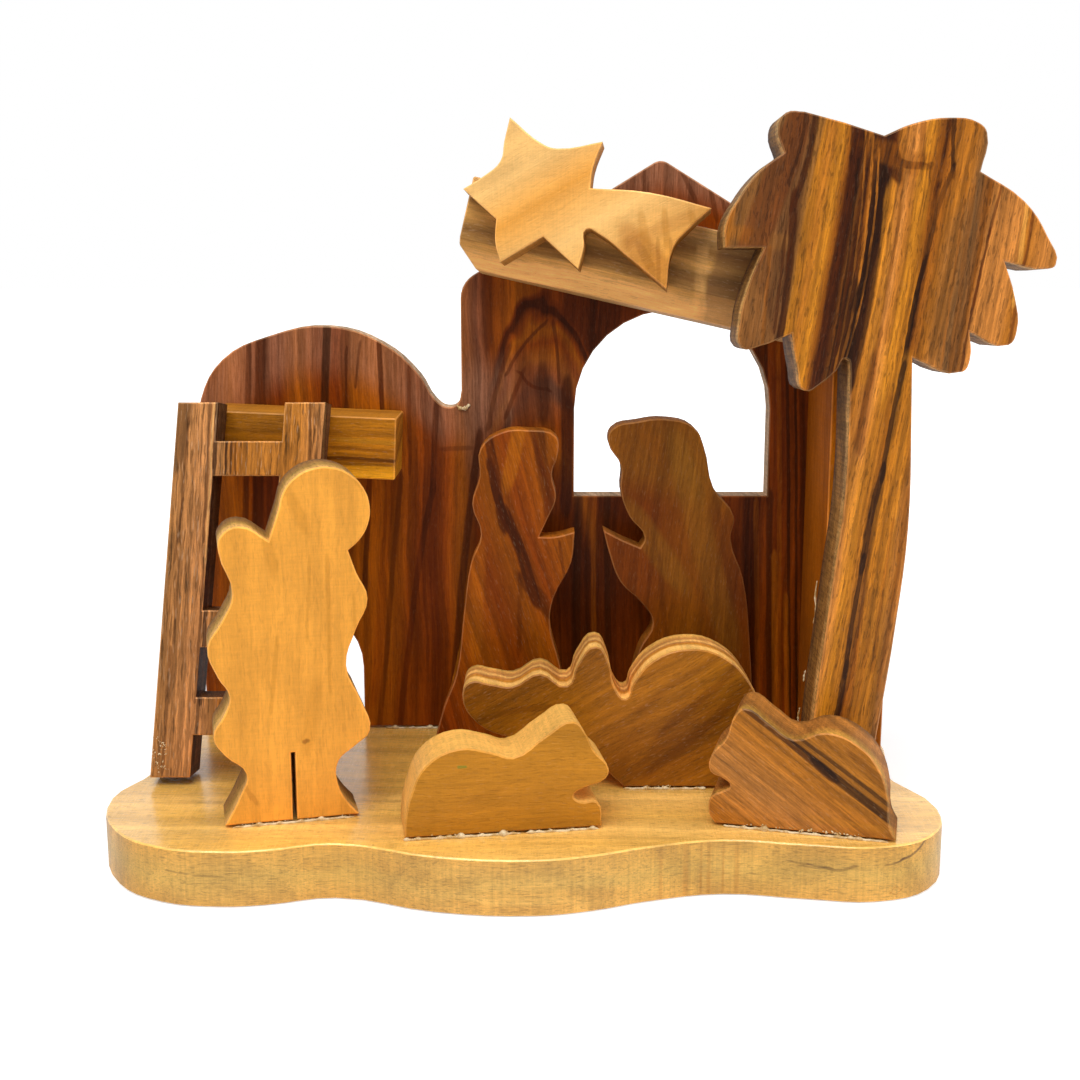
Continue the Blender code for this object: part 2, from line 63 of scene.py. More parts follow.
# Tones of the wood in linear light, from sapwood to the burnt-looking heartwood, each with what it is for.
TONES = {
    "cream": ((0.90, 0.52, 0.17), "Palest sapwood"),
    "straw": ((0.76, 0.42, 0.11), "Pale sapwood"),
    "honey": ((0.89, 0.385, 0.06), "Warm sapwood"),
    "reed": ((0.46, 0.27, 0.06), "Dull straw of the base"),
    # Bone is also the colour of the painted glints among the flecks.
    "bone": ((0.74, 0.50, 0.30), "Rubbed sawn edge of a dark board"),
    "gold": ((0.54, 0.215, 0.02), "Bright band"),
    "amber": ((0.44, 0.155, 0.02), "Deep gold band"),
    "tan": ((0.50, 0.20, 0.06), "Plain mid wood"),
    "sienna": ((0.37, 0.135, 0.018), "Orange-brown band"),
    "brick": ((0.33, 0.135, 0.036), "Red-brown of the ladder"),
    "olive": ((0.34, 0.17, 0.045), "Greenish mid wood"),
    "chestnut": ((0.27, 0.085, 0.008), "Brown band"),
    # Painted sheen: a greyed tone laid over the top of the wall where the lamp's sheen shows on the lacquer.
    "painted_sheen": ((0.23, 0.13, 0.30), "Greyed brown at the top of the wall, before the wall's stain"),
    "russet": ((0.20, 0.047, 0.004), "Red-brown band"),
    "smoke": ((0.16, 0.075, 0.035), "Greyed brown patch"),
    "moss": ((0.20, 0.22, 0.03), "Green speck"),
    "walnut": ((0.115, 0.024, 0.003), "Dark brown band"),
    "umber": ((0.055, 0.012, 0.002), "Nearly black line"),
    "pitch": ((0.022, 0.007, 0.003), "Black line"),
}

# Place of each board's own origin and its turn, in millimetres and degrees.
BOARDS = {
    "base": ((0, 0, 3.0), (0, 0, 0)),
    "back_wall": ((0, 19.25, 6.3), (90, 0, 0)),
    "side_post": ((34.5, 10.1, 6.3), (90, 0, 0)),
    "roof_bar": ((-6.2, 13.27, 68.3), (82.832, 12.405, -7.348)),
    "star": ((1.87, 6.85, 70.58), (83, 0, -5.8)),
    "palm_tree": ((29.1, -2.46, 6.42), (88, 0, 0)),
    "cross_rail": ((-36.08, 12.8, 43.64), (90, 2.5, 0)),
    "ladder": ((-41.8, -0.6, 6.67), (81.5, 0, 0)),
    "shepherd": ((-31.35, -12.39, 6.3), (90, 0, 14)),
    "sheep_left": ((-12.21, -15.39, 6.3), (90, 0, 9)),
    "sheep_right": ((21.24, -11.36, 6.3), (90, 0, -15)),
    "donkey": ((2.1, -0.5, 6.3), (90, 0, 0)),
    "mary": ((2.1, 12.25, 6.3), (90, 0, 0)),
    "joseph": ((2.1, 12.25, 6.3), (90, 0, 0)),
}

# Figure of a piece where its own row below says nothing else. The grain's angle is in degrees, lengths are in
# millimetres, and strengths run from 0 to 1. A side stain of None means the stain of the flats.
PLAIN_FIGURE = dict(
    grain=0, lean=0.0, depth_slope=0.3, wander=0.8, wander_length=18, fray=0.2, rings=1.4, ring_contrast=0.2,
    fibre=0.15, squared=0.0, saw=0.2, flecks_and_glints=0.0, pits=0.2, pores=0.3, pore_length=1.0, speckle=0.18,
    sanding=0.02, gloss=0.0, shine=0.16, coat=0.1, arris=0.8, arches=None, side_stain=None,
)

# Figure of each piece. Bands are (place across the grain in millimetres, tone). The side is the sawn edge's
# tone, or its layers from back to front, and its share. A stain is a factor on red, green and blue. Arches
# are their middle, spread and reach, and then bands by height.
FIGURES = {
    "base": dict(
        grain=90, wander=1.2, wander_length=30, fray=0.3, rings=1.6, ring_contrast=0.13, fibre=0.12,
        bands=(
            (-24, "straw"), (3, "straw"), (6, "cream"), (11, "straw"), (15, "cream"), (19, "straw"),
            (24, "cream"),
        ),
        side=(((-3, "gold"), (0, "reed"), (3, "gold")), 0.5), stain=(1.12, 1.14, 0.88),
        saw=0.13, flecks_and_glints=0.1, pits=0.15, pores=0.5, sanding=0.05, gloss=0.16, shine=0.45, coat=1.0,
        arris=0.35,
    ),
    "back_wall": dict(
        wander_length=14, fray=0.15, rings=0.9, ring_contrast=0.28, fibre=0.2,
        bands=(
            (-40, "russet"), (-36, "chestnut"), (-33, "russet"), (-30, "walnut"), (-27.5, "chestnut"),
            (-25, "russet"), (-22.5, "walnut"), (-21, "chestnut"), (-17, "chestnut"), (-13, "russet"),
            (-11.5, "walnut"), (-10, "russet"), (-8, "chestnut"), (-6, "walnut"), (-4.5, "russet"),
            (-1, "chestnut"), (2, "russet"), (5, "walnut"), (8, "umber"), (12, "walnut"), (16, "russet"),
            (20, "walnut"), (25, "russet"), (28, "umber"), (29.5, "russet"), (31, "walnut"), (32.5, "russet"),
            (34, "walnut"), (35.5, "chestnut"), (37, "walnut"), (40, "russet"),
        ),
        arches=(
            1.8, 3.8, 7.6,
            (
                (30, "russet"), (36, "chestnut"), (39, "russet"), (41, "russet"), (42.6, "umber"),
                (43.6, "umber"), (44.6, "russet"), (46.5, "chestnut"), (49.0, "russet"), (50.6, "chestnut"),
                (51.4, "russet"), (52.4, "umber"), (53.2, "umber"), (53.5, "walnut"),
            ),
        ),
        side=("bone", 0.85), side_stain=(1, 1, 1), stain=(1.30, 1.05, 0.25),
        saw=0.3, flecks_and_glints=0.05, pits=0.4, shine=0.1, coat=0.05,
    ),
    "side_post": dict(
        wander=0.6, wander_length=20, fibre=0.18,
        # Darker towards the left edge: partly the wood, partly painted shade.
        bands=((-8, "chestnut"), (0, "amber"), (4, "chestnut"), (7.3, "amber")),
        side=("chestnut", 0.5), stain=(1.25, 1.00, 0.20), saw=0.05, flecks_and_glints=0.1, shine=0.1, coat=0.05,
    ),
    "roof_bar": dict(
        grain=90, wander_length=20, rings=1.3, ring_contrast=0.25,
        # The olive bands on the front face are partly painted shade, the star's shadow on the bar; the cream
        # bands make the edge facets paler.
        bands=(
            (-5, "cream"), (-3.6, "olive"), (-2, "straw"), (0, "olive"), (1.8, "straw"), (2.4, "cream"),
            (5, "cream"),
        ),
        side=("cream", 0.7), side_stain=(0.9, 0.95, 1.2), stain=(0.78, 0.72, 0.68),
        saw=0.1, squared=1.0, flecks_and_glints=0.4,
    ),
    "star": dict(
        grain=60, wander=0.6, wander_length=12, rings=2.0, ring_contrast=0.05, fibre=0.05,
        bands=((-12, "cream"), (-4, "cream"), (0, "honey"), (5, "cream"), (12, "honey")),
        side=(((-2, "chestnut"), (0.6, "gold"), (2, "cream")), 0.7), stain=(0.90, 0.90, 0.90),
        sanding=0.05, pits=0.4, pores=0.06, speckle=0.06,
    ),
    "palm_tree": dict(
        lean=0.15, wander=0.35, fray=0.22, rings=0.6, ring_contrast=0.28, fibre=0.28,
        bands=(
            (-20, "chestnut"), (-16, "sienna"), (-14, "chestnut"), (-12.3, "walnut"), (-10.6, "walnut"),
            (-10.1, "gold"), (-8.6, "sienna"), (-7.4, "gold"), (-6.6, "chestnut"), (-6.2, "umber"),
            (-5.2, "umber"), (-4.8, "sienna"), (-4.3, "umber"), (-3.7, "chestnut"), (-3.2, "pitch"),
            (-1.9, "umber"), (-1.3, "sienna"), (0.4, "tan"), (1.6, "gold"), (2.8, "chestnut"), (3.4, "umber"),
            (3.9, "chestnut"), (5, "sienna"), (6.4, "sienna"), (7.6, "smoke"), (8.9, "chestnut"),
            (9.3, "tan"), (12.5, "tan"), (13.4, "sienna"), (16, "tan"), (20, "gold"),
        ),
        side=(((-3.5, "smoke"), (-1, "olive"), (1.5, "olive"), (2.6, "cream"), (3.5, "straw")), 0.85),
        side_stain=(1, 1, 1), stain=(1.02, 0.92, 0.55), saw=0.4, flecks_and_glints=0.06, pits=1.0, pores=0.8,
    ),
    "cross_rail": dict(
        grain=90, wander=0.4, wander_length=12, rings=1.0, fibre=0.2,
        bands=(
            (-4, "sienna"), (-2.5, "amber"), (-0.6, "amber"), (0.3, "chestnut"), (1.0, "gold"),
            (1.8, "honey"),
            (4, "honey"),
        ),
        side=("tan", 0.4), stain=(1.00, 0.98, 0.25), saw=0.1, squared=1.0, flecks_and_glints=0.2,
    ),
    "ladder": dict(
        lean=0.06, wander=0.3, wander_length=14, fray=0.25, rings=0.45, ring_contrast=0.24, fibre=0.4,
        bands=(
            (0, "brick"), (4, "tan"), (5.5, "brick"), (7, "chestnut"), (9, "amber"), (14, "amber"),
            (17, "tan"),
        ),
        # The nearly black sawn sides are partly painted shade, where the stiles' inner sides stand in shadow.
        side=("umber", 0.75), stain=(1.10, 1.15, 1.20),
        saw=0.3, flecks_and_glints=0.55, pits=0.4, pores=1.0, pore_length=2.2,
    ),
    "shepherd": dict(
        wander=0.7, fray=0.25, rings=1.3, ring_contrast=0.07, fibre=0.05,
        bands=((-2, "honey"), (17, "honey")),
        side=(((-3.1, "smoke"), (-1, "olive"), (0.8, "reed"), (1.8, "straw"), (3.1, "cream")), 0.9),
        side_stain=(1, 1, 1), stain=(0.91, 0.90, 0.75),
        saw=0.25, flecks_and_glints=0.05, pits=0.9, sanding=0.04, pores=0.18, speckle=0.08,
    ),
    "sheep_left": dict(
        grain=90, wander=0.7, fray=0.25, rings=2.0, ring_contrast=0.1, fibre=0.1,
        bands=((-2, "gold"), (12, "gold")),
        side=(((-3.2, "straw"), (-2.4, "cream"), (0, "cream"), (3.2, "cream")), 0.95),
        side_stain=(1.0, 0.94, 0.65), stain=(0.88, 0.90, 0.65),
        saw=0.12, flecks_and_glints=0.1, pits=0.3, pores=0.25, speckle=0.1,
    ),
    "sheep_right": dict(
        grain=-53, wander=0.3, fray=0.12, rings=0.6, ring_contrast=0.25, fibre=0.25,
        bands=((0, "amber"), (5, "tan"), (9, "amber"), (12, "sienna"), (16, "amber"), (20, "tan")),
        side=(((-3.2, "smoke"), (-1.8, "tan"), (1, "tan"), (3.2, "straw")), 0.6), stain=(0.92, 0.90, 0.60),
        flecks_and_glints=0.2, pits=0.4, pores=0.4,
    ),
    "donkey": dict(
        grain=60, ring_contrast=0.18,
        bands=((-14, "chestnut"), (-4, "amber"), (2, "chestnut"), (9, "amber"), (18, "chestnut")),
        side=(
            (
                (-3.4, "olive"), (-2.6, "straw"), (-1.4, "tan"), (-0.4, "cream"), (0.2, "tan"), (1.2, "gold"),
                (2.0, "cream"), (2.6, "cream"), (3.4, "straw"),
            ),
            0.92,
        ),
        side_stain=(1.18, 1.15, 0.95), stain=(0.84, 0.85, 0.30), saw=0.15, flecks_and_glints=0.2, pits=0.3, pores=0.4,
    ),
    "mary": dict(
        lean=-0.3, rings=1.0, ring_contrast=0.25, fibre=0.12,
        bands=(
            (-10, "russet"), (-4, "chestnut"), (0, "russet"), (3, "chestnut"), (6, "russet"),
            (10, "chestnut"),
        ),
        side=("tan", 0.5), stain=(1.12, 0.88, 0.20), flecks_and_glints=0.15, pits=0.3, shine=0.1, coat=0.05,
    ),
    "joseph": dict(
        lean=0.1, bands=((2, "russet"), (10, "russet"), (16, "chestnut"), (22, "russet"), (28, "chestnut")),
        side=("tan", 0.5), stain=(0.84, 0.74, 0.25), flecks_and_glints=0.1, pits=0.3, shine=0.1, coat=0.05,
    ),
}

# Lines and patches of the figure in a board's own millimetres: (u, v) where each starts and ends, how far it
# bows to its left, half its width, the softness of its edge, its tone and its strength.
STROKES = {
    "back_wall": (
        # The first three strokes of the wall paint the lamp's sheen on the lacquer over the dome's crown, the
        # gable and a strip between them.
        (-40, 36, -11, 40.5, 11, 2.2, 4.5, "painted_sheen", 0.55),
        (9, 67, 27, 64.5, 3.4, 1.6, 3.5, "painted_sheen", 0.75),
        (-6.5, 53.5, -6.2, 36, 0, 0.8, 1.5, "painted_sheen", 0.35),
        (-32, 48.7, -34.6, 0.8, 0, 0.48, 0.36, "umber", 0.85),
        (-33.5, 47.3, -35, 21.5, 0, 0.24, 0.24, "umber", 0.7),
        (-23.9, 49.7, -24.5, 40, 0, 0.38, 0.24, "pitch", 0.85),
        (-24.5, 32.7, -25.4, 21.5, 0, 0.37, 0.37, "umber", 0.6),
        (-22.3, 49.1, -22.6, 40, 0, 0.84, 0.48, "walnut", 0.5),
        (-21.6, 47.3, -21.9, 40.6, 0, 0.1, 0.12, "umber", 0.7),
        (-20, 47.9, -20.6, 43.1, 0, 0.1, 0.12, "umber", 0.6),
        (-17.7, 47.9, -17.5, 40, 0, 0.22, 0.14, "umber", 0.9),
        (-19.3, 31.7, -20.2, 16.4, 0, 0.24, 0.18, "umber", 0.8),
        (-14.2, 44.9, -14.4, 32.7, 0, 0.14, 0.18, "walnut", 0.6),
        (-11, 40.3, -11.6, 30.2, -0.12, 0.24, 0.24, "umber", 0.75),
        (-11.6, 30.5, -16, 0.5, -0.37, 0.25, 0.25, "umber", 0.8),
        (-15.5, 31.5, -18.6, 0.5, 0, 0.2, 0.24, "umber", 0.6),
        (-16.8, 30.2, -19.1, 4.7, 0, 0.37, 0.49, "russet", 0.5),
        (-5.9, 36.4, -9.4, 3.4, -0.24, 0.32, 0.3, "umber", 0.85),
        (-7.2, 15.9, -10.5, 0.5, 0, 0.12, 0.1, "tan", 0.5),
        (-9.8, 35.3, -7.5, 35.4, 0, 0.17, 0.24, "umber", 0.45),
        (-13.4, 21.5, -15.7, 0.5, 0, 0.87, 0.74, "walnut", 0.45),
        (-4.8, 55.8, -4.7, 49.1, 0, 0.42, 0.48, "umber", 0.6),
        (-0.6, 44.4, 2.4, 42.6, -0.6, 0.13, 0.18, "umber", 0.8),
        (-0.5, 44.5, -2.5, 39.6, 0, 0.15, 0.2, "umber", 0.7),
        (-2.3, 44.6, 2.1, 50.4, 0.4, 0.12, 0.16, "umber", 0.7),
        (3.2, 50.3, 3.9, 43.8, 0.1, 0.13, 0.15, "umber", 0.75),
        (1.9, 42.9, 1.9, 41, 0, 0.6, 0.48, "umber", 0.7),
        (-2.1, 47.3, -4.7, 38.3, -0.24, 0.17, 0.24, "umber", 0.6),
        (-0.3, 41.9, -0.5, 37.6, 0, 1.09, 0.61, "walnut", 0.55),
        (4.9, 41.9, 4.8, 29, 0, 0.54, 0.36, "umber", 0.85),
        (7.2, 52, 8.1, 49.1, 0, 0.12, 0.12, "umber", 0.5),
        (10, 53.2, 9.8, 50.2, 0, 0.1, 0.14, "umber", 0.6),
        (8.8, 54.6, 8.3, 49.7, 0, 0.08, 0.12, "walnut", 0.6),
        (14, 53.7, 14.3, 52.5, 0, 0.24, 0.36, "umber", 0.6),
        (17.4, 52.6, 17.4, 51.5, 0, 0.24, 0.36, "umber", 0.5),
        (10.6, 66.5, 10.5, 65.1, 0, 0.24, 0.18, "umber", 0.5),
        (12.5, 67.4, 12.4, 65.3, 0, 0.24, 0.18, "umber", 0.5),
        (13.9, 68.1, 13.9, 65.3, 0, 0.12, 0.12, "umber", 0.5),
        (18.1, 68.5, 19.8, 65.1, 0, 0.18, 0.18, "umber", 0.55),
        (21.5, 67.1, 22.4, 63.2, 0, 0.21, 0.18, "umber", 0.6),
        (22.8, 66, 23.9, 62.5, 0, 0.14, 0.14, "umber", 0.5),
        (6.3, 29, 6.1, 8.7, 0, 0.37, 0.37, "pitch", 0.6),
        (8.2, 29, 8.4, 8.7, 0, 0.18, 0.25, "chestnut", 0.35),
        (9.8, 29, 10.1, 10, 0, 0.27, 0.25, "pitch", 0.6),
        (26.9, 28.4, 27.8, 3.4, 0, 0.27, 0.25, "umber", 0.6),
        (28.1, 28.4, 29.1, 3.4, 0, 0.2, 0.18, "chestnut", 0.45),
        (29.7, 29, 30.6, 2.1, 0, 0.29, 0.25, "pitch", 0.7),
        (30.3, 47.3, 31.9, 0.8, 0, 0.19, 0.18, "chestnut", 0.5),
        (31.3, 47.3, 33.2, 0.8, 0, 0.14, 0.14, "pitch", 0.8),
        (32.3, 46.7, 34.1, 0.8, 0, 0.11, 0.12, "pitch", 0.8),
        (33, 46.7, 35.1, 0.8, 0, 0.24, 0.24, "umber", 0.8),
        (30.6, 21.5, 31.3, 1.9, 0, 0.25, 0.25, "amber", 0.45),
        (32.2, 16.4, 32.8, 1.6, 0, 0.2, 0.19, "amber", 0.4),
        (28.7, 49.7, 29.5, 29, 0, 0.14, 0.14, "umber", 0.7),
    ),
    "palm_tree": (
        (-4.6, 67.5, -6.6, 59.6, -0.3, 1.3, 0.8, "smoke", 0.85),
        (-6.2, 60.2, -2.5, 59.4, 0, 0.5, 0.7, "sienna", 0.6),
        (-5.4, 52, -3.8, 46.2, 0, 0.9, 0.6, "tan", 0.5),
        (-1.1, 72.6, -4.3, 53.6, -0.21, 2.26, 0.51, "smoke", 0.75),
        (-2.5, 68.8, -5.7, 59.7, 0, 1.24, 0.62, "walnut", 0.6),
        (0.4, 72.6, -1.8, 63.3, 0.31, 0.21, 0.21, "umber", 0.8),
        (-1.7, 63.8, -2.8, 50, 0.21, 0.27, 0.21, "umber", 0.9),
        (-0.7, 72.6, -2.2, 65.8, 0.21, 0.1, 0.12, "pitch", 0.6),
        (-2.5, 60.3, -3.4, 50.5, 0, 0.1, 0.1, "umber", 0.7),
        (-4.1, 58.7, -4.7, 48.9, 0, 0.1, 0.16, "chestnut", 0.5),
        (4.9, 71.4, 2.5, 45.2, 0.62, 0.87, 0.21, "umber", 0.78),
        (7.2, 71, 4.5, 46.1, 0.82, 0.77, 0.21, "pitch", 0.72),
        (6.2, 71.2, 3.4, 45.8, 0.82, 0.09, 0.08, "amber", 0.75),
        (6.9, 68.8, 3.9, 46.3, 0.82, 0.07, 0.07, "amber", 0.65),
        (5.5, 71.2, 2.8, 45.5, 0.72, 0.06, 0.07, "amber", 0.5),
        (4.8, 67.8, 2.2, 45.2, 0.41, 0.06, 0.07, "pitch", 0.7),
        (7.9, 70.8, 5.1, 53.6, 0.93, 0.33, 0.21, "pitch", 0.75),
        (4.6, 53.6, 4, 46.1, 0, 0.58, 0.31, "pitch", 0.7),
        (7.6, 70.3, 8.3, 68.2, 0, 0.75, 0.25, "umber", 0.9),
        (8.6, 67.9, 11.2, 67.3, -0.21, 0.30, 0.20, "umber", 0.85),
        (12.1, 67.2, 12.4, 67.4, 0, 0.21, 0.15, "pitch", 0.6),
        (9.1, 68.2, 11.7, 67.4, -0.31, 0.93, 0.62, "chestnut", 0.4),
        (11.4, 71.4, 11.4, 68, 0, 0.21, 0.21, "walnut", 0.5),
        (10.6, 66.8, 8.5, 50.5, 0.31, 0.26, 0.41, "chestnut", 0.45),
        (9.5, 67, 7.3, 50.5, 0.41, 0.1, 0.17, "chestnut", 0.5),
        (8.2, 63.8, 6.4, 46.1, 0.31, 0.36, 0.41, "gold", 0.5),
        (11.5, 64.8, 9.4, 46.3, 0.31, 0.52, 0.41, "gold", 0.5),
        (14.6, 72.2, 14.7, 66.6, -0.1, 0.16, 0.12, "pitch", 0.85),
        (14.6, 66.8, 12.7, 60.6, -0.16, 0.19, 0.12, "pitch", 0.9),
        (12.9, 61.2, 10.2, 46.1, -0.21, 0.18, 0.1, "pitch", 0.92),
        (14, 64.8, 12.2, 59.7, -0.1, 0.47, 0.41, "chestnut", 0.4),
        (19.9, 66, 18.6, 60.2, 0, 0.09, 0.09, "walnut", 0.8),
        (18.7, 60.6, 16.3, 45.9, -0.1, 0.1, 0.1, "walnut", 0.85),
        (15.6, 57.9, 14.3, 47.1, 0, 1.36, 0.83, "smoke", 0.55),
        (16.8, 64.8, 15.2, 46.1, 0, 0.12, 0.26, "chestnut", 0.35),
        (16.1, 65.3, 14.2, 46.1, 0, 0.07, 0.16, "chestnut", 0.4),
        (23.3, 63.4, 22.5, 57.5, 0, 0.12, 0.12, "walnut", 0.7),
        (22.3, 56.9, 21.4, 49.2, 0, 0.15, 0.13, "walnut", 0.6),
        (22.5, 63.4, 21.6, 53.6, 0, 0.17, 0.16, "cream", 0.25),
        (25, 61.6, 24.1, 57.5, 0, 0.09, 0.12, "tan", 0.4),
        (7.7, 50, 5.5, 38.9, 0.11, 0.17, 0.21, "chestnut", 0.6),
        (7, 46.8, 6, 38.9, 0, 0.32, 0.32, "walnut", 0.5),
        (11, 45.9, 9, 31.8, -0.11, 0.12, 0.14, "chestnut", 0.6),
        (9.1, 32.5, 7.6, 21.6, -0.11, 0.11, 0.16, "chestnut", 0.45),
        (11.9, 45.5, 10.6, 35.7, 0, 0.11, 0.17, "chestnut", 0.45),
        (10.8, 32.5, 9.1, 18, -0.21, 0.34, 0.32, "tan", 0.45),
        (9.4, 32.5, 8.4, 19.3, -0.11, 0.13, 0.16, "chestnut", 0.5),
        (7.6, 40, 4.9, 14, 0.2, 0.6, 0.5, "sienna", 0.65),
        (10.6, 44, 7.4, 9, -0.3, 1.0, 0.5, "gold", 0.5),
        (12.8, 44, 9.8, 9, 0.4, 0.8, 0.5, "tan", 0.85),
        (11.3, 33, 8.9, 12, 0.2, 0.14, 0.2, "chestnut", 0.7),
        (11.9, 38, 10.2, 16, 0.2, 0.08, 0.15, "chestnut", 0.6),
        (9.8, 30, 8.2, 14, -0.1, 0.10, 0.16, "chestnut", 0.6),
        (11.8, 34.6, 10.9, 17.1, 0.32, 0.37, 0.43, "smoke", 0.25),
        (8.6, 18.2, 10.5, 14, 0, 1.41, 0.87, "smoke", 0.15),
        (7.6, 17.1, 6.5, 9, 0, 0.15, 0.22, "chestnut", 0.4),
        (9.7, 19.3, 8.7, 9, 0, 0.43, 0.43, "smoke", 0.2),
        (5.6, 34.6, 3.9, 9.7, 0.21, 0.48, 0.43, "gold", 0.45),
        (10.3, 46.5, 8.5, 35, -0.16, 0.2, 0.13, "pitch", 0.85),
        (8.5, 35.5, 6.7, 25.4, -0.16, 0.28, 0.13, "pitch", 0.9),
        (6.8, 25.9, 5.2, 13.5, -0.11, 0.2, 0.13, "pitch", 0.88),
        (5.3, 14, 4.5, 9, 0, 0.24, 0.15, "pitch", 0.85),
    ),
    "mary": (
        (-6.6, 37.6, -4.9, 27.8, 0, 0.4, 0.3, "umber", 0.85),
        (-6.2, 33.7, -3.3, 25.3, -0.35, 0.35, 0.25, "umber", 0.9),
        (-4.3, 27.8, -1.4, 19, 0.24, 0.5, 0.3, "umber", 0.9),
        (-5.1, 30.1, -2.4, 21.1, 0.24, 0.14, 0.18, "pitch", 0.5),
        (-1.7, 19.5, 0, 17.3, 0.24, 0.6, 0.36, "umber", 0.6),
        (-0.6, 37.8, 0.6, 30.1, -0.23, 0.47, 0.47, "umber", 0.7),
        (-1.5, 38.2, -0.2, 33.7, 0, 0.18, 0.23, "walnut", 0.6),
        (0.9, 32.5, 0.6, 28.4, 0, 0.47, 0.47, "walnut", 0.6),
        (-3.2, 37.7, -4, 33.7, 0, 0.58, 0.47, "gold", 0.3),
        (1.9, 24.7, 2.4, 20.5, 0, 0.12, 0.14, "umber", 0.5),
        (-2.9, 20.5, -3.1, 11.9, 0, 0.14, 0.26, "umber", 0.4),
        (-7.7, 22.9, -8.2, 13.1, 0, 0.48, 0.59, "amber", 0.35),
        (-1.2, 13.1, -0.6, 9.4, 0, 0.14, 0.24, "umber", 0.3),
    ),
    "joseph": (
        (11.0, 36.5, 21.5, 34.5, 0, 2.2, 5.0, "olive", 0.35),
        (11.2, 39, 12.9, 36.1, 0, 0.58, 0.58, "chestnut", 0.35),
        (11.8, 26.5, 14.3, 22.9, 0, 0.95, 0.95, "olive", 0.35),
        (16.4, 33.7, 21.6, 15.6, 0, 0.94, 1.06, "olive", 0.3),
        (13.7, 22.9, 14.6, 13.1, 0, 0.14, 0.36, "umber", 0.35),
        (18.7, 38.4, 23.4, 13.1, 0, 0.12, 0.29, "umber", 0.2),
    ),
    "sheep_right": (
        (2.6, 11.9, 10.7, 5.8, 0.15, 0.41, 0.18, "umber", 0.8),
        (2.3, 12.2, 11.3, 5.7, 0.15, 0.12, 0.08, "pitch", 0.85),
        (10.2, 6.4, 18, 0.9, -0.1, 0.36, 0.2, "pitch", 0.82),
        (4.9, 10.7, 18.1, 1.6, 0, 0.09, 0.07, "amber", 0.65),
        (5.4, 10.9, 18.3, 2, 0.1, 0.14, 0.12, "pitch", 0.75),
        (11.3, 11.2, 14.7, 8.6, 0, 0.16, 0.3, "umber", 0.35),
        (13.6, 7.6, 17.1, 4.7, 0, 0.2, 0.4, "umber", 0.35),
        (9.6, 0.7, 15.9, 0.3, 0, 0.22, 0.31, "gold", 0.3),
    ),
    "donkey": (
        (13.3, 7.6, 22.2, 15.8, -0.22, 0.2, 0.5, "walnut", 0.4),
        (11.1, 10.1, 18.3, 15.3, 0.33, 0.15, 0.6, "walnut", 0.3),
        (12.3, 3.1, 23.4, 13.8, -0.45, 0.33, 0.45, "walnut", 0.35),
        (-7.8, 8.3, 2.2, 10.1, 0.67, 0.22, 0.33, "walnut", 0.35),
        (11.1, 6.1, 13.3, 10.1, 0, 0.67, 0.56, "amber", 0.4),
        (17.9, 2, 23.2, 10.1, 0, 0.56, 0.56, "amber", 0.35),
        (21.6, 11.3, 23.6, 5.5, 0, 0.55, 0.66, "chestnut", 0.5),
    ),
    "sheep_left": (
        (5.6, 8.3, 6.3, 8.3, 0, 0.05, 0.2, "moss", 0.8),
        (7.1, 4.8, 9.8, 5.7, 0, 0.12, 0.31, "walnut", 0.12),
    ),
    "shepherd": (
        (7.5, 8.5, 7.7, 8.6, 0, 0.14, 0.22, "russet", 0.75),
        (7.9, 9.3, 8.6, 13, 0, 0.41, 0.62, "gold", 0.3),
        (4.1, 32.2, 4.7, 28.1, 0, 0.3, 0.4, "gold", 0.35),
        (7.2, 33.6, 7.8, 32.1, 0, 0.3, 0.5, "gold", 0.4),
        (14, 35.4, 15.4, 33.8, 0, 0.2, 0.31, "gold", 0.5),
        (5, 19.7, 4.1, 12.3, 0, 0.08, 0.22, "gold", 0.4),
        (10.3, 27.8, 10.3, 14, 0, 0.08, 0.22, "gold", 0.4),
        (13, 23.5, 13.1, 17, 0, 0.08, 0.21, "gold", 0.35),
        (1.3, 3.9, 2, 2.7, 0, 0.16, 0.2, "amber", 0.4),
        (8.5, 27.9, 8, 19.5, 0, 0.07, 0.16, "gold", 0.3),
    ),
    "star": (
        (10.3, -4.3, 18.5, -1.1, 0.33, 0.33, 0.76, "amber", 0.3),
        (12.6, -6.9, 14.6, -9.5, 0, 1.3, 0.87, "amber", 0.6),
        (11.4, -2.4, 12, -5.6, 0, 0.27, 0.43, "gold", 0.4),
        (13.8, -1.8, 14, -3.7, 0, 0.22, 0.32, "gold", 0.45),
        (13.1, -4.5, 13.3, -9.4, 0, 0.11, 0.22, "chestnut", 0.4),
        (14.5, -4.5, 14.8, -9.4, 0, 0.11, 0.22, "chestnut", 0.35),
        (16.8, -1.8, 17.5, -3.7, 0, 0.22, 0.32, "gold", 0.4),
        (11.6, -5.6, 12.1, -6.5, 0, 0.33, 0.33, "chestnut", 0.35),
    ),
    "ladder": (
        (7.3, 41.9, 6.2, 23.9, 0, 0.16, 0.11, "pitch", 0.9),
        (6.9, 41.9, 5.8, 24.5, 0, 0.08, 0.08, "cream", 0.3),
        (6.5, 41.9, 5.6, 26.8, 0, 0.08, 0.08, "umber", 0.7),
        (6.1, 23.9, 5, 8.8, 0, 0.17, 0.11, "pitch", 0.85),
        (5.6, 24.5, 4.4, 8.8, 0, 0.09, 0.09, "umber", 0.6),
        (4.9, 9.9, 4.1, 0.7, 0, 0.13, 0.13, "pitch", 0.6),
        (8.3, 37.9, 8.1, 34.4, 0, 0.09, 0.08, "pitch", 0.9),
        (8.8, 37.9, 8.7, 34.4, 0, 0.08, 0.07, "pitch", 0.8),
        (9.3, 37.9, 9.2, 34.1, 0, 0.07, 0.06, "pitch", 0.6),
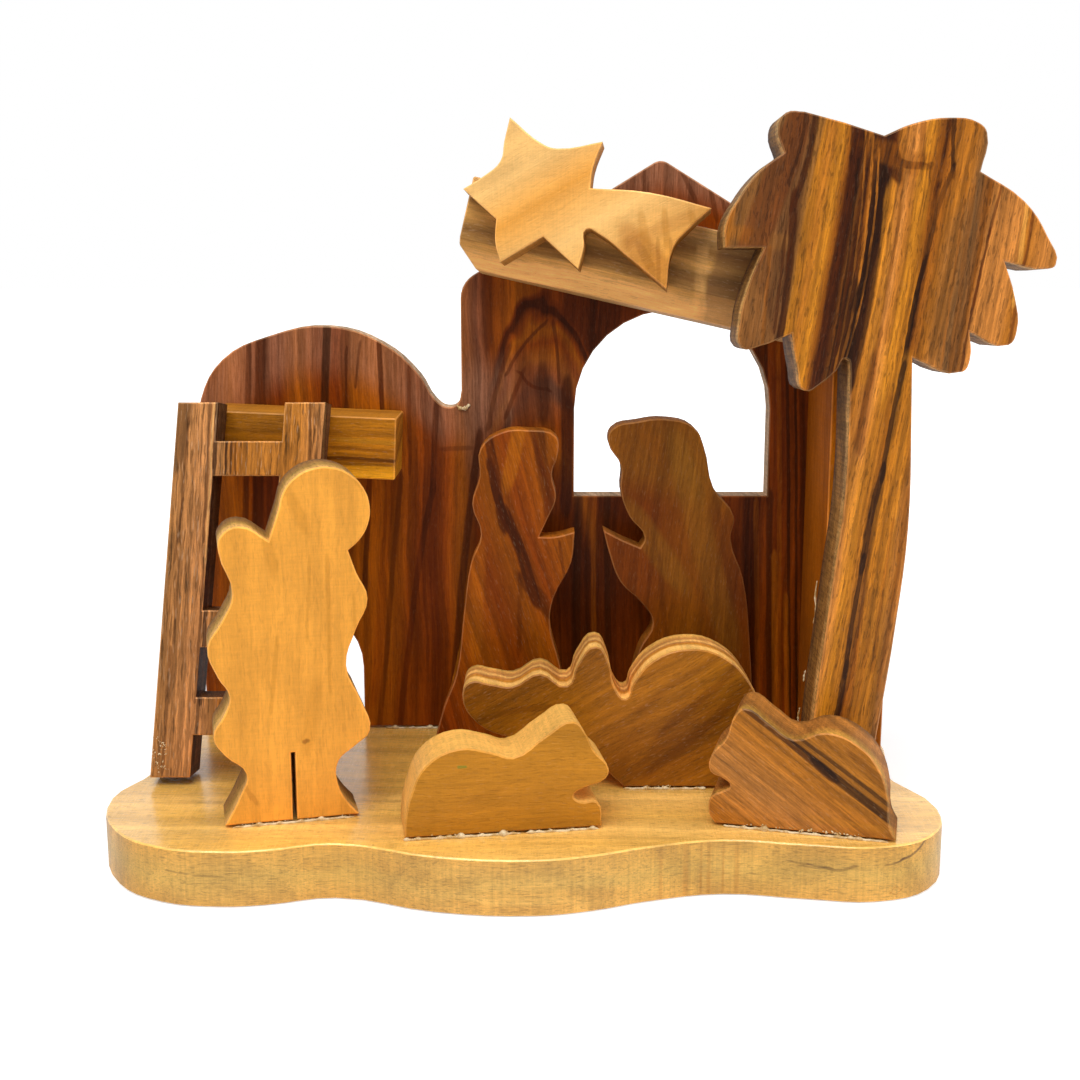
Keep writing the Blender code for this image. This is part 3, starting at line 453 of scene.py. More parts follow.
        (3.5, 41, 2.9, 36.8, 0, 0.56, 0.44, "pitch", 0.6),
        (3.3, 31.2, 2.3, 24.5, 0, 0.08, 0.09, "umber", 0.5),
        (4.1, 40.1, 2.8, 26.8, 0, 0.08, 0.11, "umber", 0.5),
        (19.4, 41.9, 19.3, 35.5, 0, 0.13, 0.1, "cream", 0.6),
        (19.7, 41.9, 19.6, 35.5, 0, 0.1, 0.07, "umber", 0.8),
        (17.7, 41.9, 17.5, 35.7, 0, 0.09, 0.09, "umber", 0.7),
        (18.1, 41.9, 18, 37.9, 0, 0.06, 0.06, "umber", 0.5),
        (1.7, 14.4, 0.7, 0.9, 0, 0.11, 0.13, "umber", 0.5),
        (2.8, 24.5, 1.6, 8.8, 0, 0.08, 0.11, "umber", 0.4),
    ),
    "cross_rail": (
        (13.9, -0, 21.1, -0.1, 0.12, 0.12, 0.14, "umber", 0.75),
        (14.6, -0.6, 20.6, -0.6, 0, 0.09, 0.14, "umber", 0.5),
        (14.4, 1.3, 20.8, 1, 0, 0.09, 0.17, "walnut", 0.4),
        (1.7, 1.1, 8.2, 1, 0, 0.14, 0.23, "walnut", 0.5),
        (14.7, -1.8, 20.9, -1.9, 0, 0.35, 0.35, "gold", 0.4),
        (15.1, 2.2, 21.1, 2, 0, 0.17, 0.23, "olive", 0.4),
    ),
    "roof_bar": (
        # These four strokes are painted light and shade on the bar: shadows of the palm and the star's tail,
        # and a pale strip of light between them.
        (31.6, 4.5, 31.0, -1.6, 0, 2.3, 0.9, "smoke", 0.6),
        (24.6, 2.2, 26.0, -1.0, 0, 0.6, 0.9, "smoke", 0.12),
        (26.9, 4.5, 28.2, -2.9, 0, 0.4, 0.5, "cream", 0.5),
        (27.4, 1.2, 28.7, -2.6, 0, 0.11, 0.22, "cream", 0.3),
    ),
}

# Marks on the sawn edge of the base, as (u, w) from the middle of its thickness.
EDGE_STROKES = {
    "base": (
        (27.6, 1.3, 29.2, 1.1, -0.05, 0.05, 0.12, "umber", 0.5),
        (29.6, 1.05, 31.4, 0.85, -0.05, 0.06, 0.12, "umber", 0.6),
        (31.2, 0.8, 33.8, 1.1, -0.3, 0.09, 0.14, "umber", 0.7),
        (28.6, 0.85, 30.4, 0.7, 0.0, 0.03, 0.10, "umber", 0.4),
        (37.4, 1.2, 39.2, 1.7, -0.15, 0.04, 0.12, "umber", 0.5),
        (39.0, 1.6, 41.4, 2.9, -0.25, 0.06, 0.14, "umber", 0.65),
        (37.9, -1.9, 38.9, -1.7, 0.45, 0.03, 0.08, "gold", 0.7),
        (37.9, -1.9, 38.9, -1.7, -0.35, 0.03, 0.08, "gold", 0.7),
        (-35.6, 0.8, -33.6, 0.7, 0.0, 0.04, 0.10, "umber", 0.35),
        (-32.6, 0.55, -30.0, 0.5, 0.0, 0.04, 0.12, "umber", 0.35),
        (17.0, 3.0, 17.0, -3.0, 0.0, 0.10, 0.35, "gold", 0.5),
        (18.6, 3.0, 18.6, -3.0, 0.0, 0.04, 0.15, "gold", 0.6),
        (19.4, 3.0, 19.4, -3.0, 0.0, 0.08, 0.25, "gold", 0.5),
        (20.9, 3.0, 20.9, -3.0, 0.0, 0.04, 0.15, "gold", 0.5),
        (22.3, 3.0, 22.3, -3.0, 0.0, 0.08, 0.35, "gold", 0.4),
        (14.4, 3.0, 14.4, -3.0, 0.0, 0.05, 0.25, "gold", 0.4),
        (-20.0, 1.0, -8.0, 0.4, 0.4, 0.3, 1.2, "gold", 0.25),
        (-2.0, -0.5, 9.0, -1.2, 0.5, 0.2, 0.9, "gold", 0.25),
        (-6.0, -1.5, 4.0, -1.9, -0.3, 0.1, 0.5, "gold", 0.25),
    ),
}

# Glue that squeezed out along a foot: board, (u, v, w) where the bead starts and ends, and its radius.
BEADS = (
    ("shepherd", (0.6, -0.22, 3.1), (13.4, -0.22, 3.1), 0.22),
    ("sheep_left", (-0.2, -0.2, 3.25), (12.0, -0.2, 3.25), 0.30),
    ("sheep_left", (12.4, -0.22, 3.25), (20.2, -0.22, 3.25), 0.20),
    ("sheep_right", (0.9, -0.2, 3.25), (9.0, -0.2, 3.25), 0.28),
    ("sheep_right", (8.6, -0.2, 3.25), (17.8, -0.2, 3.25), 0.22),
    ("donkey", (9.2, -0.22, 3.4), (18.6, -0.22, 3.4), 0.22),
    ("donkey", (-6.0, -0.22, -3.4), (17.0, -0.22, -3.4), 0.22),
    ("back_wall", (-17.5, -0.22, 1.75), (-9.5, -0.22, 1.75), 0.24),
    ("back_wall", (-4.0, -0.22, 1.75), (24.0, -0.22, 1.75), 0.20),
    ("back_wall", (-16.0, -0.22, -1.75), (31.0, -0.22, -1.75), 0.24),
    ("palm_tree", (2.6, -0.22, 3.5), (10.6, -0.22, 3.5), 0.26),
)

# Threads of glue, as points (u, v, w) on a board and a radius.
THREADS = (
    ("palm_tree", ((4.3, 22.4, -3.5), (4.15, 20.6, -3.62), (4.25, 18.9, -3.5), (4.0, 17.4, -3.55)), 0.13),
    ("palm_tree", ((3.3, 12.0, -3.5), (3.15, 11.3, -3.6), (3.1, 10.6, -3.5)), 0.12),
    ("palm_tree", ((2.75, 7.6, -3.5), (2.6, 6.6, -3.6), (2.6, 5.9, -3.5)), 0.12),
    ("back_wall", ((-8.0, 40.6, 1.72), (-7.5, 40.25, 1.85), (-6.9, 40.3, 1.85), (-6.4, 40.75, 1.72)), 0.30),
)

# Spatters of glue: board, the corner (u, v, w) that they start from, the (u, v) spread, how many and how big.
SPATTERS = (
    ("ladder", (0.25, 0.5, 2.5), (1.9, 4.2), 60, 0.07),
    ("sheep_right", (3.0, 0.0, 3.3), (12.0, 0.35), 34, 0.11),
    ("shepherd", (1.0, -0.15, 3.1), (12.0, 0.2), 26, 0.08),
    ("donkey", (11.4, -0.1, 3.4), (5.0, 0.25), 16, 0.09),
    ("sheep_left", (0.4, -0.1, 3.25), (18.0, 0.25), 20, 0.08),
)

CAMERA_PLACE = (0.0021, -0.1575, 0.0643)
CAMERA_PITCH = math.radians(79)
SENSOR = 36.0
FOCAL = 1445 / 1080 * SENSOR
AIM = (0.0, 0.0, 0.04)

# Shares and contrasts of the finish that all pieces have in common.
MOTTLE_CONTRAST = 0.08
STROKE_SHARE, STROKE_FRAYING = 0.75, 0.35
LONGEST_DOT, LINE_END = 1.0, 0.3
LAYER_WAVE = 0.8
PIT_SHADE = 0.6
GLINT_SHARE = 0.45
# Arris: share, patchiness and tint of the paler arris, which is rubbed wear and a painted highlight.
ARRIS_RUB_AND_HIGHLIGHT_SHARE, ARRIS_RUB_AND_HIGHLIGHT_PATCHES, ARRIS_RUB_AND_HIGHLIGHT_TINT = 0.35, 0.4, 0.35
FIBRE_SHEEN, SIDE_DULLNESS, SANDING_DULLNESS = 0.08, 0.34, 0.05
FIBRE_HEIGHT, PORE_DEPTH, PIT_DEPTH = 0.5, 1.0, 2.0
BUMP_STRENGTH = 0.5
COAT_ROUGHNESS = 0.18

# The fine grain's patterns: repeats to a millimetre across and along the grain, an offset that keeps them
# apart, the noise's detail and roughness, and the levels between which it is stepped.
GRAIN_PATTERNS = {
    "Fibre": (5.0, 0.22, 3.1, 3.0, 0.6, 0.25, 0.75),
    "Pores": (7.0, 0.9, 7.7, 1.0, 0.5, 0.55, 0.68),
    "Flecks And Glints": (7.0, 1.3, 11.3, 1.0, 0.5, 0.60, 0.74),
    "Mottle": (0.3, 0.1, 17.9, 3.0, 0.5, 0.3, 0.7),
}

# The pieces' seeds, the cleaning of a CAD mesh and the easing of its arrises.
FIRST_SEED, SEED_STEP = 10.0, 7.3
WELD = 2e-6
FLAT_ANGLE = math.radians(0.5)
SHARP_ANGLE = math.radians(60)
EASED_ANGLE = math.radians(32)

# Glue: steps along a bead, a thread and a drop, the lengths of a bead's waves and its least radius in
# millimetres, and the seed.
BEAD_STEPS, THREAD_STEPS, DROP_STEPS = 96, 40, 7
BEAD_WAVES = (5.3, 2.1, 1.1)
THINNEST_BEAD = 0.15
GLUE_SEED = 7

# Stage, in metres and watts.
FLOOR_HALF, FLOOR_HEIGHT, FLOOR_GLOW = 3.0, -0.0001, 0.5
KEY_PLACE, KEY_SIZE = (-0.10, -0.27, 0.50), 0.40
SIDE_PLACE, SIDE_SIZE, SIDE_SHARE = (0.42, -0.22, 0.25), 0.30, 0.35


class Value:
    """A number, a vector or a colour of a shader tree. Sums with + - * and / add the tree's Math nodes."""

    def __init__(self, wiring, socket):
        self.wiring = wiring
        self.socket = socket

    def __add__(self, other):
        return self.wiring.maths("ADD", self, other)

    def __sub__(self, other):
        return self.wiring.maths("SUBTRACT", self, other)

    def __rsub__(self, other):
        return self.wiring.maths("SUBTRACT", other, self)

    def __mul__(self, other):
        return self.wiring.maths("MULTIPLY", self, other)

    def __truediv__(self, other):
        return self.wiring.maths("DIVIDE", self, other)


class Wiring:
    """Adds nodes to one tree. A value given to an input is linked, and anything else is set on it."""

    def __init__(self, tree):
        self.tree = tree

    def feed(self, node, inputs):
        for key, given in inputs.items():
            if isinstance(given, Value):
                self.tree.links.new(given.socket, node.inputs[key])
            else:
                node.inputs[key].default_value = given

    def node(self, kind, inputs=None, **settings):
        made = self.tree.nodes.new("ShaderNode" + kind)
        for name, setting in settings.items():
            setattr(made, name, setting)
        self.feed(made, inputs or {})
        return made

    def value(self, kind, inputs=None, output=0, **settings):
        """One node, as the value of one of its outputs."""
        return Value(self, self.node(kind, inputs, **settings).outputs[output])

    def group(self, name, inputs):
        """One of the effects, as its outputs by name."""
        made = self.node("Group", node_tree=EFFECTS[name]())
        self.feed(made, inputs)
        return {socket.name: Value(self, socket) for socket in made.outputs}

    def maths(self, operation, *values):
        return self.value("Math", dict(enumerate(values)), operation=operation)

    def vector(self, operation, *values):
        output = "Value" if operation in ("DOT_PRODUCT", "LENGTH") else "Vector"
        return self.value("VectorMath", dict(enumerate(values)), output, operation=operation)

    def affine(self, value, gain, offset):
        """value x gain + offset."""
        return self.maths("MULTIPLY_ADD", value, gain, offset)

    def contrasted(self, value, contrast):
        """A value from 0 to 1 as a factor about 1: 1 - contrast + 2 x contrast x value."""
        return self.affine(value, 2 * contrast, 1 - contrast)

    def step(self, value, low, high, start=0.0, end=1.0):
        """A smooth step from start at low to end at high."""
        inputs = {"Value": value, "From Min": low, "From Max": high, "To Min": start, "To Max": end}
        return self.value("MapRange", inputs, interpolation_type="SMOOTHSTEP")

    def scaled(self, colour, amount):
        return self.value("VectorMath", {0: colour, "Scale": amount}, operation="SCALE")

    def turned(self, vector, angle, invert=False):
        inputs = {"Vector": vector, "Angle": angle}
        return self.value("VectorRotate", inputs, rotation_type="Z_AXIS", invert=invert)

    def parts(self, vector):
        return [Value(self, socket) for socket in self.node("SeparateXYZ", {0: vector}).outputs]

    def combined(self, x, y, z):
        return self.value("CombineXYZ", {0: x, 1: y, 2: z})

    def noise(self, vector, detail=2.0, roughness=0.5):
        inputs = {"Vector": vector, "Scale": 1.0, "Detail": detail, "Roughness": roughness}
        return self.value("TexNoise", inputs)

    def mix(self, factor, first, second):
        return self.value("Mix", {0: factor, 6: first, 7: second}, 2, data_type="RGBA")


EFFECTS = {}
ORIGIN = (0.0, 0.0, 0.0)


def shared(build):
    """Lists a shader group by its function's name. It's built when first asked for, and shared after that."""
    EFFECTS[build.__name__] = lambda: bpy.data.node_groups.get(build.__name__) or build()
    return build


def effect(name, inputs, outputs, vectors=()):
    """A new shader group: its wiring, its inputs as values and a function that sets one output."""
    tree = bpy.data.node_groups.new(name, "ShaderNodeTree")
    for label, default in inputs.items():
        kind = "NodeSocketVector" if isinstance(default, tuple) else "NodeSocketFloat"
        tree.interface.new_socket(name=label, in_out="INPUT", socket_type=kind).default_value = default
    for label in (*outputs, *vectors):
        kind = "NodeSocketVector" if label in vectors else "NodeSocketFloat"
        tree.interface.new_socket(name=label, in_out="OUTPUT", socket_type=kind)
    wiring = Wiring(tree)
    given = tree.nodes.new("NodeGroupInput").outputs
    wanted = tree.nodes.new("NodeGroupOutput").inputs

    def give(label, value):
        tree.links.new(value.socket, wanted[label])

    return wiring, {socket.name: Value(wiring, socket) for socket in given}, give


@shared
def grain_field():
    """Coordinates that follow the grain: across it, along it and through the board, bent and frayed by noise.

    Drawn At is the place from which a stroke's lines bend and fray as the grain does.
    """
    inputs = {
        "Position": ORIGIN, "Angle": 0.0, "Lean": 0.0, "Depth Slope": 0.0, "Wander": 1.0,
        "Wander Length": 15.0, "Fray": 0.2, "Seed": 0.0,
    }
    w, given, give = effect("grain_field", inputs, ["Across", "Along", "Depth"], ["Drawn At"])
    across, along, depth = w.parts(w.turned(given["Position"], given["Angle"]))
    slope = given["Depth Slope"] * depth
    leaned = across - given["Lean"] * along - slope
    slow = w.combined(leaned * 0.07 + given["Seed"], along / given["Wander Length"], depth * 0.05)
    bent = (w.noise(slow, 1.0) - 0.5) * given["Wander"]
    quick = w.combined(leaned * 2.5 + given["Seed"], along * 0.35, depth * 2.5)
    frayed = (w.noise(quick, 2.0, 0.6) - 0.5) * given["Fray"]
    give("Across", w.affine(bent, 2.0, w.affine(frayed, 2.0, leaned)))
    give("Along", along)
    give("Depth", depth)
    sideways = w.affine(frayed, 1.6, bent * 0.5) - slope
    moved = w.turned(w.combined(sideways, 0.0, 0.0), given["Angle"], invert=True)
    give("Drawn At", w.vector("ADD", given["Position"], moved))
    return w.tree


@shared
def fine_grain():
    """Growth rings, fibres, pores, pale flecks that also stand for painted glints, and broad mottling, each
    from 0 to 1, stretched along the grain.
    """
    inputs = {"Across": 0.0, "Along": 0.0, "Depth": 0.0, "Ring Width": 1.5, "Pore Length": 1.0, "Seed": 0.0}
    w, given, give = effect("fine_grain", inputs, ["Rings", *GRAIN_PATTERNS])
    across, along, depth, seed = (given[label] for label in ("Across", "Along", "Depth", "Seed"))
    ring = w.combined(across / given["Ring Width"], along * 0.012, seed)
    give("Rings", w.step(w.noise(ring, 3.0, 0.55), 0.33, 0.67))
    along_pores = along / given["Pore Length"]
    for label, (wide, long, offset, detail, roughness, low, high) in GRAIN_PATTERNS.items():
        run = along_pores if label in ("Pores", "Flecks And Glints") else along
        place = w.combined(w.affine(across, wide, seed + offset), run * long, depth * wide)
        give(label, w.step(w.noise(place, detail, roughness), low, high))
    return w.tree


@shared
def face_role():
    """Tells a board's sawn side and its arris, rubbed and with a painted highlight, from its flats, by the
    face's own direction.
    """
    inputs = {
        "Out": (0.0, 0.0, 1.0), "Up": (0.0, 1.0, 0.0), "Right": (1.0, 0.0, 0.0), "Position": ORIGIN,
        "Squared": 0.0,
    }
    w, given, give = effect("face_role", inputs, ["Side", "Arris", "Saw Lines"])
    normal = w.value("NewGeometry", output="True Normal")
    out, up, right = (
        w.maths("ABSOLUTE", w.vector("DOT_PRODUCT", normal, given[way])) for way in ("Out", "Up", "Right")
    )
    between = w.step(out, 0.15, 0.45) * w.step(out, 0.8, 0.97, 1.0, 0.0)
    most = w.maths("MAXIMUM", out, w.maths("MAXIMUM", up, right))
    corner = w.step(most, 0.78, 0.97, 1.0, 0.0) * given["Squared"]
    give("Side", w.step(out, 0.25, 0.5, 1.0, 0.0))
    give("Arris", w.maths("MAXIMUM", between, corner))
    lines = w.vector("MULTIPLY", given["Position"], (3.2, 3.2, 0.2))
    give("Saw Lines", w.step(w.noise(lines, 2.0, 0.6), 0.3, 0.7))
    return w.tree


@shared
def stroke():
    """One line of the figure: a soft-edged band about a parabola, with blunt or round ends.

    The band's middle is start + s . stroke + Arch . s (1 - s) . Left, with s from 0 to 1, so Arch is four
    times the bow. Run is the stroke's direction over its length, Left is square to it, and Ends is how fast
    the mask falls off past an end.
    """
    inputs = {
        "Position": ORIGIN, "Start": ORIGIN, "Run": (1.0, 0.0, 0.0), "Left": (0.0, 1.0, 0.0), "Arch": 0.0,
        "Ends": 0.3, "Inner": 0.2, "Outer": 0.4, "Share": 1.0,
    }
    w, given, give = effect("stroke", inputs, ["Mask"])
    moved = w.vector("SUBTRACT", given["Position"], given["Start"])
    place = w.vector("DOT_PRODUCT", moved, given["Run"])
    share = w.maths("MINIMUM", w.maths("MAXIMUM", place, 0.0), 1.0)
    bow = share * (1.0 - share) * given["Arch"]
    off = w.vector("DOT_PRODUCT", moved, given["Left"]) - bow
    past = (place - share) * given["Ends"]
    away = w.maths("SQRT", w.affine(off, off, past * past))
    give("Mask", w.step(away, given["Inner"], given["Outer"], given["Share"], 0.0))
    return w.tree


@shared
def arched_figure():
    """Cathedral figure and where it shows: q = v + (u - centre)^2 / spread, whose level lines are arches."""
    inputs = {"Position": ORIGIN, "Centre": 0.0, "Spread": 4.0, "Reach": 7.0, "Low": 30.0, "High": 53.0}
    w, given, give = effect("arched_figure", inputs, ["Height", "Mask"])
    across, up, _ = w.parts(given["Position"])
    off = across - given["Centre"]
    uneven = w.noise(w.vector("MULTIPLY", given["Position"], (0.22, 0.16, 0.0)))
    height = up + off * off / given["Spread"] + (uneven - 0.5) * 5.0
    inside = w.step(w.maths("ABSOLUTE", off), given["Reach"] - 2.5, given["Reach"], 1.0, 0.0)
    above = w.step(height, given["Low"], given["Low"] + 8.0)
    below = w.step(height, given["High"], given["High"] + 1.0, 1.0, 0.0)
    give("Height", height)
    give("Mask", inside * (above * below))
    return w.tree


@shared
def sawn_skin():
    """What the tools left: pits torn by the saw, crossed scratches of the sanding and a fine speckle."""
    w, given, give = effect("sawn_skin", {"Position": ORIGIN, "Seed": 0.0}, ["Pits", "Sanding", "Speckle"])
    across, up, _ = w.parts(given["Position"])
    give("Pits", w.step(w.noise(w.scaled(given["Position"], 2.6), 2.0, 0.65), 0.56, 0.68))
    lying, upright = (
        w.noise(w.combined(across * wide, up * high, given["Seed"]), 1.0)
        for wide, high in ((0.5, 5.0), (5.0, 0.5))
    )
    give("Sanding", w.step(lying + upright, 0.7, 1.3))
    give("Speckle", w.noise(w.vector("MULTIPLY", given["Position"], (6.0, 4.5, 6.0)), 2.0, 0.7))
    return w.tree


def wood_tone(name):
    return (*getattr(bpy.context.scene.nativity_tones, name), 1)


def band_chart(wiring, across, bands):
    """A colour ramp across the grain, from bands of (place in millimetres, tone).

    The place is mapped without a clamp, because a clamp is worked out last and would keep every stroke
    waiting.
    """
    low, high = bands[0][0], bands[-1][0]
    share = wiring.value("MapRange", {"Value": across, "From Min": low, "From Max": high}, clamp=False)
    ramp = wiring.node("ValToRGB", {0: share})
    stops = ramp.color_ramp.elements
    while len(stops) < len(bands):
        stops.new(0.5)
    for stop, (place, tone) in zip(stops, bands):
        stop.position = (place - low) / (high - low)
        stop.color = wood_tone(tone)
    return Value(wiring, ramp.outputs[0])


def drawn_strokes(wiring, colour, position, strokes, strength):
    """Lays strokes of the figure over a colour, one after another. A dot is round, and a line fades out."""
    for u1, v1, u2, v2, bow, half, soft, tone, share in strokes:
        run = Vector((u2 - u1, v2 - v1, 0))
        long = run.length
        inputs = {
            "Position": position,
            "Start": (u1, v1, 0),
            "Run": run / long**2,
            "Left": (-run.y / long, run.x / long, 0),
            "Arch": 4 * bow,
            "Ends": long * (LINE_END if long > LONGEST_DOT else 1.0),
            "Inner": half,
            "Outer": half + soft,
            "Share": share,
        }
        mask = wiring.group("stroke", inputs)["Mask"]
        colour = wiring.mix(mask * strength, colour, wood_tone(tone))
    return colour


def board_turn(name):
    return Euler([math.radians(angle) for angle in BOARDS[name][1]])


def sawn_side(w, figure, fine, depth):
    """Colour of the sawn edge: one tone, or layers through the board's thickness, with the piece's stain."""
    tone, share = figure["side"]
    if isinstance(tone, str):
        colour = wood_tone(tone)[:3]
    else:
        waved = w.affine(fine["Mottle"], LAYER_WAVE, depth - LAYER_WAVE / 2)
        colour = band_chart(w, waved, tone)
    return w.vector("MULTIPLY", colour, figure["side_stain"] or figure["stain"]), share


def olive_wood(name, seed):
    """The wood of one piece: its bands and strokes, its sawn sides, the fine grain and the arrises, rubbed
    and with a painted highlight.
    """
    settings = bpy.context.scene.nativity_wood
    figure = {**PLAIN_FIGURE, **FIGURES[name]}
    material = bpy.data.materials.new(name + "_wood")
    material.use_nodes = True
    w = Wiring(material.node_tree)
    turn = board_turn(name)
    inputs = {
        "Vector": w.value("TexCoord", output="Object"),
        "Location": Vector(BOARDS[name][0]) * MM,
        "Rotation": turn,
        "Scale": (MM, MM, MM),
    }
    position = w.value("Mapping", inputs, vector_type="TEXTURE")
    inputs = {
        "Position": position,
        "Angle": math.radians(figure["grain"]),
        "Lean": figure["lean"],
        "Depth Slope": figure["depth_slope"],
        "Wander": figure["wander"],
        "Wander Length": figure["wander_length"],
        "Fray": figure["fray"],
        "Seed": seed,
    }
    field = w.group("grain_field", inputs)
    inputs = {label: field[label] for label in ("Across", "Along", "Depth")}
    inputs.update({"Ring Width": figure["rings"], "Pore Length": figure["pore_length"], "Seed": seed})
    fine = w.group("fine_grain", inputs)
    out, up, right = (turn.to_matrix() @ Vector(way) for way in ((0, 0, 1), (0, 1, 0), (1, 0, 0)))
    inputs = {"Out": out, "Up": up, "Right": right, "Position": position, "Squared": figure["squared"]}
    role = w.group("face_role", inputs)
    skin = w.group("sawn_skin", {"Position": position, "Seed": seed})

    colour = band_chart(w, field["Across"], figure["bands"])
    if figure["arches"]:
        centre, spread, reach, bands = figure["arches"]
        inputs = {
            "Position": field["Drawn At"], "Centre": centre, "Spread": spread, "Reach": reach,
            "Low": bands[0][0], "High": bands[-1][0],
        }
        arched = w.group("arched_figure", inputs)
        colour = w.mix(arched["Mask"], colour, band_chart(w, arched["Height"], bands))
    uneven = w.affine(fine["Fibre"], STROKE_FRAYING, STROKE_SHARE)
    colour = drawn_strokes(w, colour, field["Drawn At"], STROKES.get(name, ()), uneven)
    colour = w.vector("MULTIPLY", colour, figure["stain"])
    edge_colour, side_share = sawn_side(w, figure, fine, field["Depth"])
    colour = w.mix(role["Side"] * side_share, colour, edge_colour)
    if name in EDGE_STROKES:
        across, back, out = w.parts(position)
        in_front = role["Side"] * w.step(back, -6.0, -2.0, 1.0, 0.0)
        patchy = in_front * w.step(fine["Mottle"], 0.1, 0.6, 0.55, 1.0)
        at = w.combined(across, out + uneven * 0.2, 0.0)
        colour = drawn_strokes(w, colour, at, EDGE_STROKES[name], patchy)

    shade = w.contrasted(fine["Rings"], figure["ring_contrast"])
    shade = shade * w.contrasted(fine["Fibre"], figure["fibre"])
    shade = shade * w.contrasted(fine["Mottle"], MOTTLE_CONTRAST)
    shade = shade * w.contrasted(skin["Sanding"], figure["sanding"])
    shade = shade * w.contrasted(skin["Speckle"], figure["speckle"])
    sawn = role["Side"] * figure["saw"]
    shade = shade * (1.0 - sawn * role["Saw Lines"])
    torn = role["Side"] * skin["Pits"] * figure["pits"]
    shade = shade * w.affine(torn, -PIT_SHADE, 1.0)
    shade = shade * (1.0 - fine["Pores"] * (settings.pore_darkness * figure["pores"]))
    colour = w.scaled(colour, shade)
    # Pale flecks in the grain, mixed with painted glints of light.
    colour = w.mix(fine["Flecks And Glints"] * (GLINT_SHARE * figure["flecks_and_glints"]), colour, wood_tone("bone"))
    # Arrises are made paler and tinted: partly rubbed wear, partly a painted highlight along the eased edges.
    rubbed_and_highlit = role["Arris"] * w.affine(fine["Mottle"], ARRIS_RUB_AND_HIGHLIGHT_PATCHES, ARRIS_RUB_AND_HIGHLIGHT_SHARE) * figure["arris"]
    colour = w.scaled(colour, w.affine(rubbed_and_highlit, settings.arris_rub_and_highlight_gain, 1.0))
    colour = w.mix(rubbed_and_highlit * ARRIS_RUB_AND_HIGHLIGHT_TINT, colour, (*settings.arris_rub_and_highlight_tone, 1))

    rough = w.affine(fine["Fibre"], -FIBRE_SHEEN, settings.roughness - figure["gloss"])
    rough = w.affine(role["Side"], SIDE_DULLNESS + figure["gloss"], rough)
    height = w.affine(fine["Fibre"], FIBRE_HEIGHT, fine["Pores"] * -PORE_DEPTH)
    height = w.affine(torn, -PIT_DEPTH, w.affine(sawn, role["Saw Lines"], height))
    finish = {
        "Base Color": colour,
        "Roughness": w.affine(skin["Sanding"], SANDING_DULLNESS, rough),
        "Normal": w.value("Bump", {"Strength": BUMP_STRENGTH, "Distance": settings.relief, "Height": height}),
        "Specular IOR Level": figure["shine"],
        "Coat Weight": settings.lacquer * figure["coat"],
        "Coat Roughness": COAT_ROUGHNESS,
    }
    w.feed(material.node_tree.nodes["Principled BSDF"], finish)
    return material


def added(name, data):
    """A new object in the scene."""
    made = bpy.data.objects.new(name, data)
    bpy.context.scene.collection.objects.link(made)
    return made


def finished_board(name, seed):
    """A welded copy of the CAD board with its arrises eased, in its own wood. It stands for the CAD node."""
    settings = bpy.context.scene.nativity_wood
    shape = bmesh.new()
    shape.from_mesh(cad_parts[name].data)
    bmesh.ops.remove_doubles(shape, verts=shape.verts, dist=WELD)
    bmesh.ops.dissolve_limit(shape, angle_limit=FLAT_ANGLE, verts=shape.verts, edges=shape.edges)
    mesh = bpy.data.meshes.new(name + "_sawn")
    shape.to_mesh(mesh)
    shape.free()
    mesh.shade_smooth()
    mesh.set_sharp_from_angle(angle=SHARP_ANGLE)
    board = added(name + "_sawn", mesh)
    mesh.materials.append(olive_wood(name, seed))
    ease = board.modifiers.new("eased_arris", "BEVEL")
    ease.width = settings.easing
    ease.segments = 2
    ease.limit_method = "ANGLE"
    ease.angle_limit = EASED_ANGLE
    ease.use_clamp_overlap = False
    ease.miter_outer = "MITER_ARC"
    level = board.modifiers.new("flat_faces", "WEIGHTED_NORMAL")
    level.keep_sharp = False
    level.weight = 80
    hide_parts(name)
    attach(board, BODY)


class ToneSettings(bpy.types.PropertyGroup):
    """Tones of the wood, which every piece's figure is made of."""

    __annotations__ = {
        tone: FloatVectorProperty(
            name=tone.capitalize(), description=note, subtype="COLOR", size=3, min=0, max=1, default=colour
        )
        for tone, (colour, note) in TONES.items()
    }


class WoodSettings(bpy.types.PropertyGroup):
    """How the sawn wood is finished."""

    # The arris tone and gain paint a highlight along the eased edges as well as rubbed wear.
    arris_rub_and_highlight_tone: FloatVectorProperty(
        name="Arris tone", description="Colour that shows where an arris is rubbed", subtype="COLOR",
        size=3, min=0, max=1, default=(0.80, 0.46, 0.20),
    )
    arris_rub_and_highlight_gain: FloatProperty(
        name="Arris gain", description="How much paler a rubbed arris is than the wood",
        min=0, max=3, default=0.9,
    )
    easing: FloatProperty(
        name="Easing", description="Width sanded off every edge of an arris", unit="LENGTH",
        subtype="DISTANCE", min=0.00002, max=0.0003, default=0.00005, precision=5,
    )
    relief: FloatProperty(
        name="Relief", description="Depth of the open grain", unit="LENGTH", subtype="DISTANCE",
        min=0, max=0.0002, default=0.00003, precision=6,
    )
    roughness: FloatProperty(name="Roughness", description="Dullness of a flat", min=0, max=1, default=0.42)
    lacquer: FloatProperty(
        name="Lacquer", description="Share of clear lacquer on the wood", min=0, max=1, default=0.5
    )
    pore_darkness: FloatProperty(
        name="Pore darkness", description="How dark an open pore is", subtype="FACTOR",
        min=0, max=1, default=0.5,
    )


